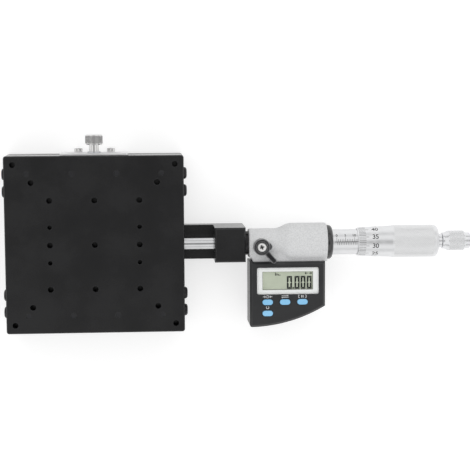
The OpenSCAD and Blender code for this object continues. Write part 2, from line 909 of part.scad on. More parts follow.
module return_springs() {
    coil_x0 = spring_table_x + hook_r + hook_neck_l;
    turns = floor((spring_base_x - hook_r - hook_neck_l - coil_x0) / wire_d);
    coil_x1 = coil_x0 + turns * wire_d;
    color("#a9abae")
        for (s = [-1, 1])
            translate([0, s * spring_y, axis_z]) {
                rotate([0, 90, 0])
                    rotate_extrude()
                        polygon(concat([[0, coil_x0]], coil_edge(coil_x0, turns), [[0, coil_x1]]));
                for (pin_x = [spring_table_x, spring_base_x])
                    translate([pin_x, 0, 0])
                        rotate_extrude()
                            translate([hook_r, 0])
                                circle(d = wire_d);
                for (run = [[spring_table_x + hook_r, coil_x0 + 0.2], [coil_x1 - 0.2, spring_base_x - hook_r]])
                    translate([run[0], 0, 0])
                        rotate([0, 90, 0])
                            cylinder(d = wire_d * 0.9, h = run[1] - run[0]);
            }
}

// ---- Table lock ----

module lock_washer() {
    color("#d8d9db")
        translate([0, half_w + lock_plate_t + touch, lock_z])
            rotate([-90, 0, 0])
                difference() {
                    cylinder(d = washer_d, h = washer_t);
                    translate([0, 0, -eps])
                        cylinder(d = lock_d + 0.3, h = washer_t + 2 * eps);
                }
}

// Knurled thumb screw, whose thread goes through the plate's slot into the table
module lock_screw() {
    seat = lock_plate_t + washer_t + 2 * touch;
    color("#bfc1c4")
        translate([0, half_w, lock_z])
            rotate([-90, 0, 0])
                rotate_extrude()
                    polygon([
                        [0, lock_tap_gap - lock_grip], [lock_d / 2 - 0.4, lock_tap_gap - lock_grip],
                        [lock_d / 2, lock_tap_gap + 0.5 - lock_grip],
                        [lock_d / 2, seat], [shoulder_d / 2, seat], [shoulder_d / 2, seat + shoulder_l],
                        [thumb_d / 2 - 0.4, seat + shoulder_l], [thumb_d / 2, seat + shoulder_l + 0.4],
                        [thumb_d / 2, seat + shoulder_l + thumb_l - 0.4],
                        [thumb_d / 2 - 0.4, seat + shoulder_l + thumb_l],
                        [0, seat + shoulder_l + thumb_l]
                    ]);
}

// ---- Bracket and stem ----

module bracket() {
    color("#2e2e30")
        difference() {
            union() {
                block(
                    [arm_x0, axis_y - bracket_w / 2, bracket_lift],
                    [block_x0 + 1, axis_y + bracket_w / 2, bracket_lift + arm_t]
                );
                bracket_block();
            }
            axis_bar(stem_d / 2 + fit, block_x0 - eps, block_x1 + eps);
            for (x = arm_screw_xs, s = [-1, 1]) {
                upright(x, axis_y + s * arm_screw_y, 0, bracket_lift + arm_t + eps, m3_hole_d);
                upright(
                    x, axis_y + s * arm_screw_y,
                    0, bracket_lift + arm_screw_sink + m3_head_h, m3_seat_d - 0.1
                );
            }
            translate([block_x0 + block_l / 2, axis_y - stem_d / 2 + 1, axis_z])
                rotate([90, 0, 0])
                    cylinder(d = m4_d + 2 * fit, h = bracket_w / 2);
        }
}

// The upright block, bevelled along its top edges
module bracket_block() {
    intersection() {
        block(
            [block_x0, axis_y - bracket_w / 2, bracket_lift],
            [block_x1, axis_y + bracket_w / 2, block_z1]
        );
        translate([0, axis_y, 0])
            rotate([90, 0, 90])
                linear_extrude(block_x1 + eps)
                    bevelled_outline(bracket_w / 2);
        translate([(block_x0 + block_x1) / 2, 0, 0])
            rotate([90, 0, 0])
                linear_extrude(stage_w, center = true)
                    bevelled_outline(block_l / 2);
    }
}

module bevelled_outline(half) {
    polygon([
        [-half, 0], [half, 0], [half, block_z1 - block_c], [half - block_c, block_z1],
        [block_c - half, block_z1], [-half, block_z1 - block_c]
    ]);
}

module bracket_screws() {
    color("#3a3a3c")
        for (x = arm_screw_xs, s = [-1, 1])
            translate([x, axis_y + s * arm_screw_y, bracket_lift + arm_screw_sink])
                rotate([180, 0, 0])
                    m3_screw(channel_z0 - bracket_lift - arm_screw_sink - m3_head_h - 0.3);
}

module stem_set_screw() {
    color("#1c1c1e")
        translate([block_x0 + block_l / 2, axis_y - stem_d / 2 - fit, axis_z])
            rotate([90, 0, 0])
                set_screw(m4_d, (bracket_w - stem_d) / 2 - 0.6, m4_key);
}

module stem() {
    color("#c9cbce")
        difference() {
            axis_bar(stem_d / 2, block_x0 + 0.3, stem_x1);
            axis_bar(spindle_r + fit, block_x0 - eps, stem_x1 + eps);
            upright(pivot_x, pivot_y, axis_z, axis_z + stem_d, clamp_pin_d + 2 * fit);
        }
}

// Slotted ring nut on the stem
module stem_collar() {
    color("#1f1f21")
        difference() {
            axis_bar(collar_d / 2, block_x1, frame_x0);
            axis_bar(stem_d / 2 + fit, block_x1 - eps, frame_x0 + eps);
            for (turn = [0:90:270])
                on_axis(block_x1 - eps)
                    rotate([0, 0, turn + 45])
                        translate([collar_d / 2 - 0.5, -1, 0])
                            cube([2, 2, collar_l + 2 * eps]);
        }
}

// ---- Micrometer head ----

module micrometer_frame() {
    seat_y = axis_y - disp_off;
    color("#c4c5c6")
        difference() {
            union() {
                turned([
                    [0, frame_x0], [frame_neck_d / 2 - 0.8, frame_x0], [frame_neck_d / 2, frame_x0 + 0.8],
                    [frame_neck_d / 2, cone_x0], [frame_d / 2, wide_x0], [frame_d / 2, frame_x1 - 0.8],
                    [frame_d / 2 - 0.8, frame_x1], [0, frame_x1]
                ]);
                frame_side();
                upright(pivot_x, pivot_y, axis_z, boss_z1, boss_d);
            }
            block([frame_x0 - eps, seat_y - frame_d, 0], [frame_x1 + eps, seat_y, 2 * axis_z]);
            axis_bar(stem_d / 2 + fit, frame_x0 - eps, stem_x1 + 0.2);
            axis_bar(spindle_r + 0.2, frame_x0, frame_x1);
            axis_bar(cavity_r, cavity_x0, frame_x1 + eps);
            upright(pivot_x, pivot_y, axis_z, stage_h + 2, lever_screw_d + 2 * fit);
            upright(pivot_x, pivot_y, axis_z, clamp_pin_z1 + 0.1, clamp_pin_d + 2 * fit);
        }
}

// The flat side of the frame that carries the display unit
module frame_side() {
    low_z = axis_z - frame_neck_d / 2 + 0.8;
    high_z = axis_z + frame_neck_d / 2 - 1.2;
    corner_x = 2.2;
    corner_y = 3.8;
    side_y = axis_y - disp_off;
    translate([0, 0, low_z])
        linear_extrude(high_z - low_z)
            polygon([
                [frame_x0 + 0.2, axis_y], [frame_x0 + 0.2, side_y + corner_y], [frame_x0 + corner_x, side_y],
                [frame_x1, side_y], [frame_x1, axis_y]
            ]);
}

module end_ring() {
    r = ring_d / 2;
    round_r = 2.2;
    color("#2a2a2c")
        turned(concat(
            [[sleeve_d / 2 + fit, frame_x1], [r - 0.3, frame_x1], [r, frame_x1 + 0.3]],
            arc(r - round_r, ring_x1 - round_r, round_r, 0, 90, 6),
            [[sleeve_d / 2 + fit, ring_x1]]
        ));
}

// Threaded sleeve in the frame, with a flange that seats in the frame's bore
module inner_sleeve() {
    color("#b9bbbe")
        turned([
            [spindle_r + fit, flange_x0], [cavity_r - fit, flange_x0], [cavity_r - fit, flange_x0 + flange_t],
            [inner_sleeve_r, flange_x0 + flange_t], [inner_sleeve_r, nut_x0], [nut_thread_r, nut_x0],
            [nut_thread_r, sleeve_x1], [spindle_r + fit, sleeve_x1]
        ]);
}

// Graduated sleeve
module sleeve() {
    color("#d9dadc")
        turned([
            [sleeve_bore_r, frame_x1 - 3], [sleeve_d / 2, frame_x1 - 3], [sleeve_d / 2, sleeve_x1 - 0.4],
            [sleeve_d / 2 - 0.3, sleeve_x1], [sleeve_bore_r, sleeve_x1]
        ]);
}

// Taper nut that takes up the thread's play, with two spanner slots
module adjusting_nut() {
    color("#8d9094")
        difference() {
            turned([
                [nut_thread_r + fit, nut_x0 + 0.3], [inner_sleeve_r - 0.1, nut_x0 + 0.3],
                [inner_sleeve_r - 0.1, sleeve_x1 - 0.1], [nut_thread_r + fit, sleeve_x1 - 0.1]
            ]);
            on_axis(sleeve_x1 - 1.5)
                translate([-1, -sleeve_d, 0])
                    cube([2, 2 * sleeve_d, 3]);
        }
}

module encoder_stator() {
    color("#2f6b46")
        turned([
            [spindle_r + 0.6, stator_x0], [cavity_r - fit, stator_x0],
            [cavity_r - fit, stator_x0 + stator_t], [spindle_r + 0.6, stator_x0 + stator_t]
        ]);
}

// Encoder ring, keyed to the spindle: it turns with it and stays in place
module encoder_rotor() {
    color("#c6a24a")
        union() {
            turned([
                [spindle_r + fit, rotor_x0], [cavity_r - 0.6, rotor_x0],
                [cavity_r - 0.6, rotor_x0 + rotor_disc_t], [spindle_r + 2.2, rotor_x0 + rotor_disc_t],
                [spindle_r + 2.2, rotor_x1], [spindle_r + fit, rotor_x1]
            ]);
            on_axis(rotor_x0)
                translate([spindle_r - key_slot_d + 0.1, 0.1 - key_slot_w / 2, 0])
                    cube([key_slot_d + 0.5, key_slot_w - 0.2, rotor_x1 - rotor_x0]);
        }
}

module clamp_pin() {
    color("#9a9ca0")
        upright(pivot_x, pivot_y, axis_z + spindle_r + touch, clamp_pin_z1, clamp_pin_d);
}

module spindle() {
    color("#dcdde0")
        difference() {
            turned([
                [0, tip_x], [spindle_r - 0.4, tip_x], [spindle_r, tip_x + 0.4],
                [spindle_r, flange_x0 + travel / 2 + flange_t], [thread_r, flange_x0 + travel / 2 + flange_t + 0.4],
                [thread_r, thimble_bore_x1], [tail_r, thimble_x1 - 0.3], [0, thimble_x1 - 0.3]
            ]);
            on_axis(rotor_x0 - travel / 2 - 1)
                translate([spindle_r - key_slot_d, -key_slot_w / 2, 0])
                    cube([spindle_d, key_slot_w, rotor_x1 - rotor_x0 + travel + 2]);
            axis_bar(post_thread_r + fit, thimble_x1 - 9, thimble_x1);
        }
}

module thimble() {
    r = thimble_d / 2;
    end_round = 2.4;
    taper_x1 = thimble_x0 + thimble_taper_l;
    bore_r = sleeve_d / 2 + 0.15;
    color("#dedfe1")
        turned(concat(
            [[bore_r, thimble_x0], [thimble_front_d / 2 - 0.35, thimble_x0], [thimble_front_d / 2, thimble_x0 + 0.5],
             [r - 0.15, taper_x1], [r, taper_x1 + 0.4]],
            arc(r - end_round, thimble_x1 - end_round, end_round, 0, 90, 6),
            [[tail_r + fit, thimble_x1], [tail_r + fit, thimble_x1 - 0.3],
             [thread_r + fit, thimble_bore_x1], [bore_r, thimble_bore_x1]]
        ));
}

// Screw that clamps the thimble on the spindle's taper and carries the ratchet
module ratchet_post() {
    color("#d0d1d4")
        turned([
            [0, thimble_x1 - 8], [post_thread_r, thimble_x1 - 8], [post_thread_r, thimble_x1],
            [post_d / 2, thimble_x1], [post_d / 2, knob_x0 - 0.3], [2, knob_x0 - 0.3],
            [2, cap_x0 - 1], [0, cap_x0 - 1]
        ]);
}

module ratchet_knob() {
    r = ratchet_d / 2;
    ring_x = knob_x0 + knob_ring_l;
    color("#d6d7da")
        turned([
            [2 + fit, knob_x0], [knob_ring_d / 2 - 0.2, knob_x0], [knob_ring_d / 2, knob_x0 + 0.2],
            [knob_ring_d / 2, ring_x], [r, grip_x0], [r, cap_x0 - 0.4], [r - 0.4, cap_x0],
            [cap_d / 2 - 1.5, cap_x0], [cap_d / 2 - 1.5, cap_x0 - 2.5], [2 + fit, cap_x0 - 2.5]
        ]);
}

module ratchet_cap() {
    r = cap_d / 2;
    color("#e2e3e5")
        turned([
            [0, cap_x0 - 0.8], [r - 1.5 - fit, cap_x0 - 0.8], [r - 1.5 - fit, cap_x0], [r, cap_x0],
            [r, cap_x0 + cap_l - 0.6], [r - 0.6, cap_x0 + cap_l], [0, cap_x0 + cap_l]
        ]);
}

// ---- Lock lever ----

module lock_lever() {
    lobe_r = hub_d / 4;
    color("#1d1d1f")
        difference() {
            union() {
                upright(pivot_x, pivot_y, hub_z0, hub_z1, hub_d);
                translate([pivot_x, pivot_y, lever_arm_z0])
                    rotate([0, 0, lever_angle])
                        linear_extrude(hub_z1 - 0.2 - lever_arm_z0) {
                            translate([0, -lever_w / 2])
                                square([lever_reach - lever_w / 2, lever_w]);
                            translate([lever_reach - lever_w / 2, 0])
                                circle(d = lever_w);
                        }
                translate([pivot_x, pivot_y, hub_z0])
                    rotate([0, 0, lever_angle + 52])
                        translate([hub_d / 2 - lobe_r / 2, 0, 0])
                            cylinder(r = lobe_r, h = hub_h - 0.6);
            }
            upright(pivot_x, pivot_y, hub_z0 - eps, hub_z1 + eps, lever_screw_d + 2 * fit);
            upright(pivot_x, pivot_y, hub_z1 - 0.7, hub_z1 + eps, lever_head_d + 0.5);
        }
}

module lever_screw() {
    color("#c9cacd")
        difference() {
            union() {
                upright(pivot_x, pivot_y, clamp_pin_z1 + 0.2, hub_z1, lever_screw_d);
                translate([pivot_x, pivot_y, hub_z1 - 0.7])
                    rotate_extrude()
                        polygon(concat(
                            [[0, 0], [lever_head_d / 2, 0], [lever_head_d / 2, 0.7]],
                            [for (k = [1:5]) [lever_head_d / 2 * cos(18 * k), 0.7 + 0.9 * sin(18 * k)]]
                        ));
            }
            for (turn = [0, 90])
                translate([pivot_x, pivot_y, hub_z1])
                    rotate([0, 0, turn + 20])
                        translate([-1.3, -0.35, 0])
                            cube([2.6, 0.7, 2]);
        }
}

// ---- Display unit ----

// Outline of the display unit, pulled in by the distance d. Its far edge is a wide arc.
module display_outline(d) {
    r = disp_corner_r;
    intersection() {
        union() {
            translate([disp_x0 + d, disp_y0 + d + r])
                square([disp_l - 2 * d, disp_w - 2 * d - r]);
            translate([disp_x0 + d + r, disp_y0 + d])
                square([disp_l - 2 * d - r, disp_w - 2 * d]);
            translate([disp_x0 + d + r, disp_y0 + d + r])
                circle(r = r);
        }
        translate([disp_x0, disp_y0 + disp_arc_r])
            circle(r = disp_arc_r - d, $fn = 256);
    }
}

// The display unit's full form, bevelled round its face
module display_form() {
    intersection() {
        translate([0, 0, back_z])
            linear_extrude(face_z - back_z)
                display_outline(0);
        // Bevel along the straight sides
        translate([(disp_x0 + disp_x1) / 2, 0, 0])
            rotate([90, 0, 0])
                linear_extrude(4 * disp_w, center = true)
                    face_bevel(disp_l / 2);
        translate([0, (disp_y0 + disp_y1) / 2, 0])
            rotate([90, 0, 90])
                linear_extrude(2 * disp_x1)
                    face_bevel(disp_w / 2);
        // Bevel along the arc
        translate([disp_x0, disp_y0 + disp_arc_r, 0])
            rotate_extrude($fn = 256)
                polygon([
                    [0, back_z], [disp_arc_r, back_z], [disp_arc_r, face_z - disp_c],
                    [disp_arc_r - disp_c, face_z], [0, face_z]
                ]);
    }
}

module face_bevel(half) {
    polygon([
        [-half, back_z], [half, back_z], [half, face_z - disp_c], [half - disp_c, face_z],
        [disp_c - half, face_z], [-half, face_z - disp_c]
    ]);
}

// Front shell: a thin wall with a sunk seat for the display's surround and window
module display_housing() {
    color("#38393b")
        difference() {
            union() {
                difference() {
                    display_form();
                    block([disp_x0 - eps, disp_y0 - eps, back_z - eps], [disp_x1 + eps, disp_y1 + eps, split_z]);
                    translate([0, 0, split_z - eps])
                        linear_extrude(face_z - disp_wall - split_z + eps)
                            display_outline(disp_wall);
                }
                seat_block(seat_wall, seat_z - seat_floor, face_z - 0.2);
                screw_posts(split_z, face_z - disp_wall + 0.2);
            }
            translate([bezel_x0, bezel_y1 - bezel_w, seat_z])
                linear_extrude(face_z - seat_z + eps)
                    round_rect(bezel_l, bezel_w, window_r);
            lcd_block(lcd_margin + 0.2, seat_z - seat_floor - eps, seat_z + eps);
            for (site = key_sites)
                translate([site[0], site[1], board_z1])
                    linear_extrude(face_z - board_z1 + eps)
                        pill(key_l + 2 * key_gap, key_w + 2 * key_gap);
            port_cut(0.1);
        }
}

// A block round the display's surround, larger by m on every side
module seat_block(m, z0, z1) {
    block([bezel_x0 - m, bezel_y1 - bezel_w - m, z0], [bezel_x0 + bezel_l + m, bezel_y1 + m, z1]);
}

// Posts that the display screws go into
module screw_posts(z0, z1) {
    for (site = display_screw_sites)
        difference() {
            upright(site[0], site[1], z0, z1, display_post_d);
            upright(site[0], site[1], z0 - eps, z1 - 1.5, display_screw_d + 2 * fit);
        }
}

// A block round the visible display, larger by m on every side
module lcd_block(m, z0, z1) {
    block([lcd_x0 - m, lcd_y1 - lcd_w - m, z0], [lcd_x0 + lcd_l + m, lcd_y1 + m, z1]);
}

module display_back() {
    color("#333436")
        difference() {
            intersection() {
                display_form();
                block([disp_x0 - eps, disp_y0 - eps, back_z], [disp_x1 + eps, disp_y1 + eps, split_z]);
            }
            difference() {
                translate([0, 0, back_z + disp_wall])
                    linear_extrude(split_z)
                        display_outline(disp_wall);
                upright(battery_x, battery_y, back_z, split_z, cover_d + 3);
                for (site = display_screw_sites)
                    upright(site[0], site[1], back_z, split_z, display_post_d);
            }
            upright(battery_x, battery_y, back_z + cover_t, split_z + eps, battery_d + 0.4);
            upright(battery_x, battery_y, back_z - eps, back_z + cover_t, cover_d + 0.3);
            for (site = display_screw_sites) {
                upright(site[0], site[1], back_z - eps, split_z + eps, display_screw_d + 0.3);
                upright(site[0], site[1], back_z - eps, back_z + 1.8, 3.9);
            }
        }
}

module display_screws() {
    color("#6a6b6e")
        for (site = display_screw_sites)
            difference() {
                union() {
                    upright(site[0], site[1], back_z + 0.3, back_z + 1.7, 3.6);
                    upright(site[0], site[1], back_z + 1.6, split_z + 4, display_screw_d);
                }
                for (turn = [0, 90])
                    translate([site[0], site[1], back_z])
                        rotate([0, 0, turn])
                            translate([-1, -0.25, 0])
                                cube([2, 0.5, 0.9]);
            }
}

module lcd_bezel() {
    color("#eeeeea")
        difference() {
            translate([bezel_x0 + 0.05, bezel_y1 - bezel_w + 0.05, seat_z])
                linear_extrude(bezel_t)
                    round_rect(bezel_l - 0.1, bezel_w - 0.1, window_r);
            lcd_block(0, seat_z - eps, face_z);
        }
}

module lcd_window() {
    color("#dfe6e8", 0.3)
        translate([bezel_x0 + 0.05, bezel_y1 - bezel_w + 0.05, face_z - window_t])
            linear_extrude(window_t - 0.05)
                round_rect(bezel_l - 0.1, bezel_w - 0.1, window_r);
}

module lcd_panel() {
    color("#b9c2a8")
        lcd_block(lcd_margin, seat_z - lcd_t, seat_z);
}

// Printed board with one small switch under each key
module circuit_board() {
    color("#2f6b46")
        union() {
            difference() {
                translate([0, 0, board_z1 - board_t])
                    linear_extrude(board_t)
                        display_outline(disp_wall + 0.6);
                for (site = display_screw_sites)
                    board_notch(site);
            }
            for (site = key_sites)
                upright(site[0], site[1], board_z1 - 0.1, board_z1 + switch_h, switch_d);
            lcd_block(-1, board_z1 - 0.1, seat_z - lcd_t);
        }
}

// A square notch in the board's corner, which clears a screw post
module board_notch(site) {
    reach = display_corner_notch / 2;
    clear = display_post_d / 2 + 0.3;
    translate([site[0] + site[2] * reach, site[1] + site[3] * reach, board_z1])
        cube([2 * (reach + clear), 2 * (reach + clear), 3 * board_t], center = true);
}

// A key, with a rim that keeps it in the housing
module key(site) {
    color("#8fc9f2")
        translate([site[0], site[1], 0]) {
            translate([0, 0, key_stem_z0])
                linear_extrude(face_z + key_up - key_stem_z0)
                    pill(key_l, key_w);
            translate([0, 0, face_z - disp_wall - key_gap - key_rim_t])
                linear_extrude(key_rim_t)
                    pill(key_l + 2 * key_rim, key_w + 2 * key_rim);
        }
}

module button_zero() {
    key(key_sites[0]);
}

module button_unit() {
    key(key_sites[1]);
}

module button_hold() {
    key(key_sites[2]);
}

module button_power() {
    key(key_sites[3]);
}

module battery() {
    battery_z0 = back_z + cover_t + 0.1;
    color("#c9cbce")
        upright(battery_x, battery_y, battery_z0, battery_z0 + battery_t, battery_d);
}

// Round cover with a coin slot
module battery_cover() {
    color("#2d2e30")
        difference() {
            upright(battery_x, battery_y, back_z, back_z + cover_t, cover_d);
            translate([battery_x - cover_d * 0.35, battery_y - 0.8, back_z - eps])
                cube([cover_d * 0.7, 1.6, eps + 0.9]);
        }
}

// The recess for the data port's cover
module port_cut(gap) {
    block(
        [disp_x1 - 1.2 - gap, port_y - port_l / 2 - gap, axis_z - gap],
        [disp_x1 + eps, port_y + port_l / 2 + gap, axis_z + port_h + gap]
    );
}

// Rubber cover in the side of the display unit
module data_port_cover() {
    color("#222325")
        block([disp_x1 - 1.2, port_y - port_l / 2, axis_z], [disp_x1 - 0.05, port_y + port_l / 2, axis_z + port_h]);
}

base_plate();
base_rail_front();
base_rail_rear();
base_rail_screws();
base_end_screws();
base_spring_pins();
lock_plate();
lock_plate_screws();
bracket();
bracket_screws();
stem_set_screw();
stem();
stem_collar();
micrometer_frame();
end_ring();
inner_sleeve();
sleeve();
adjusting_nut();
encoder_stator();
clamp_pin();
display_housing();
display_back();
display_screws();
lcd_bezel();
lcd_window();
lcd_panel();
circuit_board();
battery();
battery_cover();
data_port_cover();
table_plate();
table_rail_front();
table_rail_rear();
table_rail_screws();
table_end_screws();
preload_screws();
drive_block();
drive_block_screws();
drive_pad();
table_spring_pins();
cage_front();
rollers_front();
cage_rear();
rollers_rear();
return_springs();
lock_washer();
lock_screw();
encoder_rotor();
spindle();
thimble();
ratchet_post();
ratchet_knob();
ratchet_cap();
lock_lever();
lever_screw();
button_zero();
button_unit();
button_hold();
button_power();
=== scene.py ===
# %% [markdown]
# # A linear stage driven by a digital micrometer
# This file dresses a finished construction of a linear translation stage: a black base, a black
# table that runs on crossed rollers, and a digital micrometer that pushes the table along.
# The construction arrives as named nodes in metres, and every node already has its true size.
# What is left to make is what a maker would call the finishing: anodising, plating, knurling,
# engraved scales, the printing on the display and the light that shows them.
# The first cell loads the construction. Nothing added later may reach outside it.

import math

import bmesh
import bpy
from mathutils import Matrix, Vector


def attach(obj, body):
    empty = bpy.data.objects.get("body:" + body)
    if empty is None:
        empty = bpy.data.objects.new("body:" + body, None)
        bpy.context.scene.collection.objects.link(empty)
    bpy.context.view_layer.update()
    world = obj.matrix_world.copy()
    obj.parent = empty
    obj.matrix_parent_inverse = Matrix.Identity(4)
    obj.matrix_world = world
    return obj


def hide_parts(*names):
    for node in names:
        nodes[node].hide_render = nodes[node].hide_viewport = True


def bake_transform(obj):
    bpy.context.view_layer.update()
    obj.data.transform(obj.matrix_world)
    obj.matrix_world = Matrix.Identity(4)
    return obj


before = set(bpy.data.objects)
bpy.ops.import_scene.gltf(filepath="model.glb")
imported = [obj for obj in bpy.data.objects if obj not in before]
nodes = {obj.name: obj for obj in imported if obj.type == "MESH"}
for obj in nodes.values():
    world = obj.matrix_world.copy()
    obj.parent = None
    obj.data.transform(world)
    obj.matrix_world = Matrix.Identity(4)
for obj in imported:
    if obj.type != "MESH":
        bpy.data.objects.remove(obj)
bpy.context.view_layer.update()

# %% [markdown]
# ## The camera
# The camera stands almost straight above the stage, a little towards the back, so that it sees
# the top faces and a sliver of the rear sides. A long lens keeps the plates nearly square.
# A camera looks along its own -Z, so the rotation is written as three small turns away from
# looking straight down. They turn the room's axes into the camera's, and the camera needs the
# way back, so the matrix is transposed.

# %% Camera
mm = 0.001
image_px = 470             # width of the finished image
lens_px = 1330.75          # focal length, in pixels of that image
sensor_mm = 36.0
tilt_x, tilt_y, tilt_z = 0.1092, 0.0719, 0.0120          # radians

eye = Vector((24.72, 86.12, 770.84)) * mm
room_to_eye = (Matrix.Rotation(tilt_z, 3, "Z") @ Matrix.Rotation(tilt_y, 3, "Y")
               @ Matrix.Rotation(tilt_x, 3, "X"))
camera = bpy.data.objects.new("camera", bpy.data.cameras.new("camera"))
bpy.context.scene.collection.objects.link(camera)
camera.data.sensor_width = sensor_mm
camera.data.lens = lens_px / image_px * sensor_mm
camera.data.clip_start, camera.data.clip_end = 0.01, 50
camera.matrix_world = Matrix.Translation(eye) @ room_to_eye.transposed().to_4x4()
bpy.context.scene.camera = camera
bpy.context.scene.view_settings.view_transform = "Standard"
print("lens:", round(camera.data.lens, 2), "mm")

# %% [markdown]
# ## Floor, room and lamps
# A product table is a pale surface under two long soft boxes, one to each side and low enough
# that the black tops stay black. The boxes give light but are hidden from reflections, because a
# lamp and the room behind it would add up in a mirror and burn chrome out to paper white. What
# polished steel reflects is the room itself: a ladder of greys from the floor up to the ceiling,
# with a dark opening straight overhead, so a round bar shows soft bands along its length.
# Light Path tells apart a ray that looks at the floor from one that lights the object, so the
# floor can look white while it still keeps the soft shadow.

# %% Helpers for node trees
def add(tree, kind, values=None, **settings):
    """A new shader node of that kind, with values for its sockets and its own settings."""
    made = tree.nodes.new("ShaderNode" + kind)
    for setting, value in settings.items():
        setattr(made, setting, value)
    for socket, value in (values or {}).items():
        made.inputs[socket].default_value = value
    return made


def join(tree, *pairs):
    """Links each (from socket, to socket)."""
    for out_of, into in pairs:
        tree.links.new(out_of, into)


def sums(tree, operation, first, second=0.0):
    """A Math node on two inputs that are sockets or plain numbers."""
    made = add(tree, "Math", operation=operation)
    for socket, value in zip(made.inputs, (first, second)):
        if isinstance(value, (int, float)):
            socket.default_value = value
        else:
            join(tree, (value, socket))
    return made.outputs[0]


# %% The pale floor
floor_glow = 0.5           # light that the floor gives to eyes and mirrors
camera_glow = 0.10         # a little more for the camera, which thins the shadow
floor_half = 3.0           # metres from the middle to an edge
paper = bpy.data.materials.new("pale_paper")
paper.use_nodes = True
tree = paper.node_tree
tree.nodes.remove(tree.nodes["Principled BSDF"])
path = add(tree, "LightPath")
seen = sums(tree, "MAXIMUM", path.outputs["Is Camera Ray"],
            sums(tree, "MAXIMUM", path.outputs["Is Glossy Ray"], path.outputs["Is Transmission Ray"]))
fibre = add(tree, "TexNoise", {"Scale": 60.0, "Detail": 3.0})
tone = add(tree, "Mix", {6: (0.54, 0.54, 0.54, 1), 7: (0.57, 0.57, 0.57, 1)}, data_type="RGBA")
lit = add(tree, "BsdfDiffuse")
glow = add(tree, "Emission", {"Color": (1, 1, 1, 1)})
both = add(tree, "AddShader")
join(tree, (fibre.outputs["Fac"], tone.inputs["Factor"]), (tone.outputs[2], lit.inputs["Color"]),
     (sums(tree, "ADD", sums(tree, "MULTIPLY", seen, floor_glow),
           sums(tree, "MULTIPLY", path.outputs["Is Camera Ray"], camera_glow)), glow.inputs["Strength"]),
     (lit.outputs[0], both.inputs[0]), (glow.outputs[0], both.inputs[1]),
     (both.outputs[0], tree.nodes["Material Output"].inputs["Surface"]))

bm = bmesh.new()
bmesh.ops.create_grid(bm, x_segments=4, y_segments=4, size=floor_half)
floor_mesh = bpy.data.meshes.new("floor")
bm.to_mesh(floor_mesh)
bm.free()
floor_mesh.materials.append(paper)
floor = bpy.data.objects.new("floor", floor_mesh)
bpy.context.scene.collection.objects.link(floor)

# %% The room
room = bpy.data.worlds.new("room")
bpy.context.scene.world = room
room.use_nodes = True
tree = room.node_tree
path = add(tree, "LightPath")
way = add(tree, "TexCoord")
height = add(tree, "SeparateXYZ")
walls = add(tree, "ValToRGB")
ambient = 0.76             # how much the room adds to matt surfaces
# Each rung of the ladder: a height, 0 at the horizon and below and 1 straight up, and its grey
wall_greys = [(0.00, 0.96), (0.26, 0.96), (0.38, 0.58), (0.50, 0.58), (0.60, 1.00),
              (0.87, 1.00), (0.945, 0.88), (0.984, 0.30)]
rungs = walls.color_ramp.elements
while len(rungs) < len(wall_greys):
    rungs.new(1.0)
for rung, (rise, grey) in zip(rungs, wall_greys):
    rung.position, rung.color = rise, (grey, grey, grey, 1)
join(tree, (way.outputs["Generated"], height.inputs[0]), (height.outputs["Z"], walls.inputs["Fac"]))
mirrored = sums(tree, "MAXIMUM", path.outputs["Is Glossy Ray"], path.outputs["Is Transmission Ray"])
soft = add(tree, "Mix", {"A": ambient}, data_type="FLOAT")
whole = add(tree, "Mix", {"B": 1.0}, data_type="FLOAT")
join(tree, (mirrored, soft.inputs["Factor"]), (walls.outputs["Color"], soft.inputs["B"]),
     (path.outputs["Is Camera Ray"], whole.inputs["Factor"]), (soft.outputs[0], whole.inputs["A"]),
     (whole.outputs[0], tree.nodes["Background"].inputs["Strength"]))
tree.nodes["Background"].inputs["Color"].default_value = (1, 1, 1, 1)


# %% The two soft boxes
box_length, box_width = 1.7, 0.72
aimed_at = Vector((0.08, 0.0, 0.02))          # the middle of the stage and its micrometer


def soft_box(name, place, watts):
    """A long lamp above the stage that looks at the middle of it."""
    lamp = bpy.data.objects.new(name, bpy.data.lights.new(name, "AREA"))
    lamp.data.shape = "RECTANGLE"
    lamp.data.size, lamp.data.size_y = box_length, box_width
    lamp.data.energy = watts
    lamp.visible_glossy = False
    aim = aimed_at - Vector(place)
    lamp.matrix_world = Matrix.Translation(place) @ aim.to_track_quat("-Z", "Y").to_matrix().to_4x4()
    bpy.context.scene.collection.objects.link(lamp)


soft_box("soft_box_back", (0.10, 0.84, 0.52), 3.1)
soft_box("soft_box_front", (0.10, -0.86, 0.50), 2.4)

# %% [markdown]
# ## How a finish is written
# Every finish below is made the same way. Noise in the piece's own coordinates stands for what
# the process left behind: blasting grit, grinding lines, the rings of a lathe tool, the skin of
# a mould. The noise moves the colour a little, the roughness more, and it raises a relief. Sizes
# are given in millimetres, and a noise Scale is one over the size in metres, because the
# coordinates are metres. Values that are the same all over stay on the shader's own sockets.

# %% Helpers for finishes
def finish(name, **plain):
    """A named material, its tree and its shader, with plain values set on the shader."""
    made = bpy.data.materials.new(name)
    made.use_nodes = True
    shader = made.node_tree.nodes["Principled BSDF"]
    for socket, value in plain.items():
        shader.inputs[socket.replace("_", " ")].default_value = value
    return made, made.node_tree, shader


def grain(tree, size_mm, detail=2.0, stretch=(1, 1, 1)):
    """Noise with features of about size_mm, drawn out by stretch along x, y and z."""
    where = add(tree, "TexCoord")
    drawn = add(tree, "Mapping", {"Scale": [1 / s for s in stretch]})
    noise = add(tree, "TexNoise", {"Scale": 1 / (size_mm * mm), "Detail": detail, "Roughness": 0.55})
    join(tree, (where.outputs["Object"], drawn.inputs["Vector"]),
         (drawn.outputs[0], noise.inputs["Vector"]))
    return noise.outputs["Fac"]


